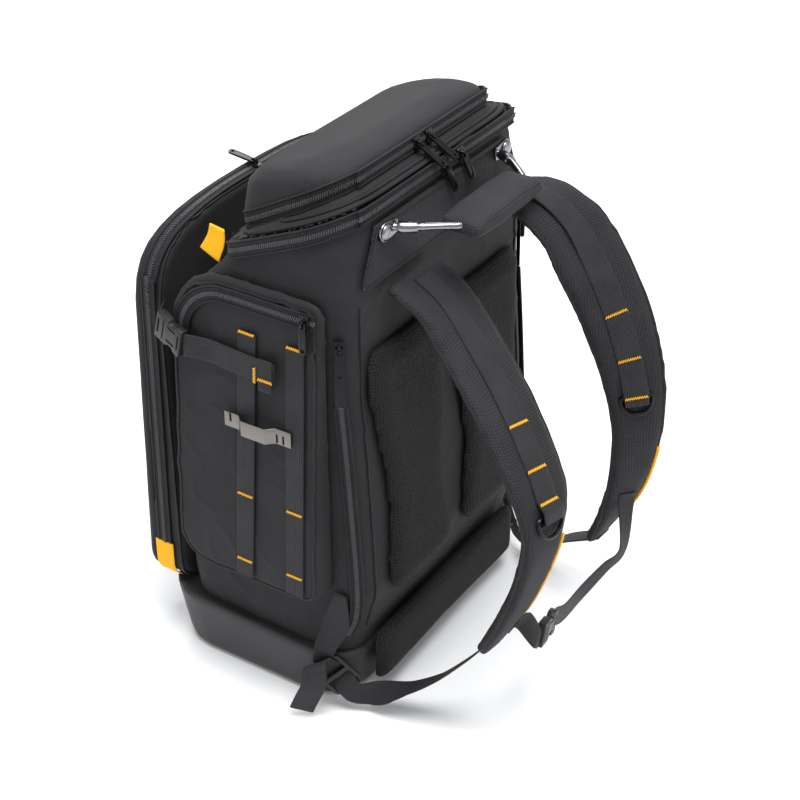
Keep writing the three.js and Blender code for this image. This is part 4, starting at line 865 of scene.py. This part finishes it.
for node_name, _ in ZIPS:
    finished(node_name + "_piping", cords(zip_edges[node_name], ZIP_EDGE_RADIUS), binding)


# Bar tacks and yellow piping: dense zigzags of yellow polyester thread hold the webbing down, and a yellow cord
# is sewn along the lower part of one edge of each shoulder strap.

# Polyester thread: a warm yellow, a little shinier than the cloth, with its plies too fine to show.
yellow_thread = woven("yellow_polyester_thread", "#E2A21A", "#F0B429", 0.0008, 0.6, 0.0001)
# The yellow cords run along the edge of each strap that lies towards this side.
CORD_SIDE = Vector((-to_camera.y, to_camera.x, 0)).normalized()
STITCH_STEP, STITCH_LEAN = 1.1, math.radians(24)
STITCH_THICK, STITCH_LONG, STITCH_TALL = 0.75 * MM, 2.9 * MM, 0.8 * MM


def measured(rows, distance):
    """The row at this distance in metres from the upper end of a course."""
    rows = rows if rows[0][0].z > rows[-1][0].z else rows[::-1]
    for before, after in zip(rows, rows[1:]):
        step = (after[0] - before[0]).length
        if distance <= step:
            return after
        distance -= step
    return rows[-1]


def closest(rows, place):
    """The row whose middle is nearest to the place."""
    return min(rows, key=lambda row: (row[0] - place).length)


def tacked(shape, row, width, lift, turned=False):
    """A zigzag of short stitches across the row, this wide in mm and lifted off it by this much."""
    at, across, out, _ = row
    along = out.cross(across)
    if turned:
        across, along = along, -across
    turn = Matrix((across, along, across.cross(along))).transposed().to_4x4()
    size = Matrix.Diagonal((STITCH_THICK, STITCH_LONG, STITCH_TALL, 1))
    count = round(width / STITCH_STEP)
    for k in range(count):
        lean = Matrix.Rotation(STITCH_LEAN if k % 2 else -STITCH_LEAN, 4, "Z")
        spot = at + across * ((k + 0.5) / count - 0.5) * width * MM + out * lift * MM
        bmesh.ops.create_cube(shape, size=1, matrix=Matrix.Translation(spot) @ turn @ lean @ size)


# Places along each strap from its upper end, in mm.
STRAP_TACKS = {"right": (166, 208, 242), "left": (205, 253, 295)}
STRAP_CORDS = {"right": (274, 387), "left": (361, 463)}
STRAP_TACK, POCKET_TACK, LOCK_TACK, LOOP_TACK, TACK_LIFT = 22, 17, 18, 15, 1.1
POCKET_TACKS = (
    # webbing, height of the tack in mm
    ("molle_front_", 414.9), ("molle_front_", 238.5), ("molle_front_", 166.2),
    ("molle_rear_", 414.1), ("molle_rear_", 238.6), ("molle_rear_", 168.8),
)
CORD_INSET, CORD_LIFT, CORD_RADIUS = 1.2 * MM, 2.6 * MM, 1.8 * MM
threads = bmesh.new()
yellow_cords = []
for side, sign in SIDES:
    pad_rows, web_rows = courses["shoulder_strap_" + side], courses["strap_webbing_" + side]
    for distance in STRAP_TACKS[side]:
        under = measured(pad_rows, distance * MM)
        at, across, out, width = closest(web_rows, under[0])
        tacked(threads, (at, across, out if out.dot(under[2]) > 0 else -out, width), STRAP_TACK, TACK_LIFT)
    ends = [measured(pad_rows, distance * MM)[0] for distance in STRAP_CORDS[side]]
    first, last = sorted(min(range(len(pad_rows)), key=lambda i: (pad_rows[i][0] - end).length) for end in ends)
    part = pad_rows[first:last + 1]
    way = 1 if part[len(part) // 2][1].dot(CORD_SIDE) > 0 else -1
    yellow_cords.append([at + across * way * (width / 2 - CORD_INSET) + out * CORD_LIFT
                         for at, across, out, width in part])
    for label, height in POCKET_TACKS:
        row = min(courses[label + side], key=lambda r: abs(r[0].z - height * MM))
        tacked(threads, row, POCKET_TACK, TACK_LIFT)
    lock = Vector((sign * 0.1655, 0.105, 0.03))
    tacked(threads, closest(courses["adjuster_webbing_" + side], lock), LOCK_TACK, TACK_LIFT)
at, across, out, width = closest(courses["tape_loop"], Vector((0.19, 0.0379, 0.3738)))
tacked(threads, (at, across, out, width), LOOP_TACK, TACK_LIFT)
tacked(threads, (at + Vector((0, -11 * MM, 3 * MM)), across, out, width), LOOP_TACK, 1.4, turned=True)
flat_map(finished("bar_tacks", threads, yellow_thread, smooth=False))
finished("strap_yellow_piping", cords(yellow_cords, CORD_RADIUS), yellow_thread)
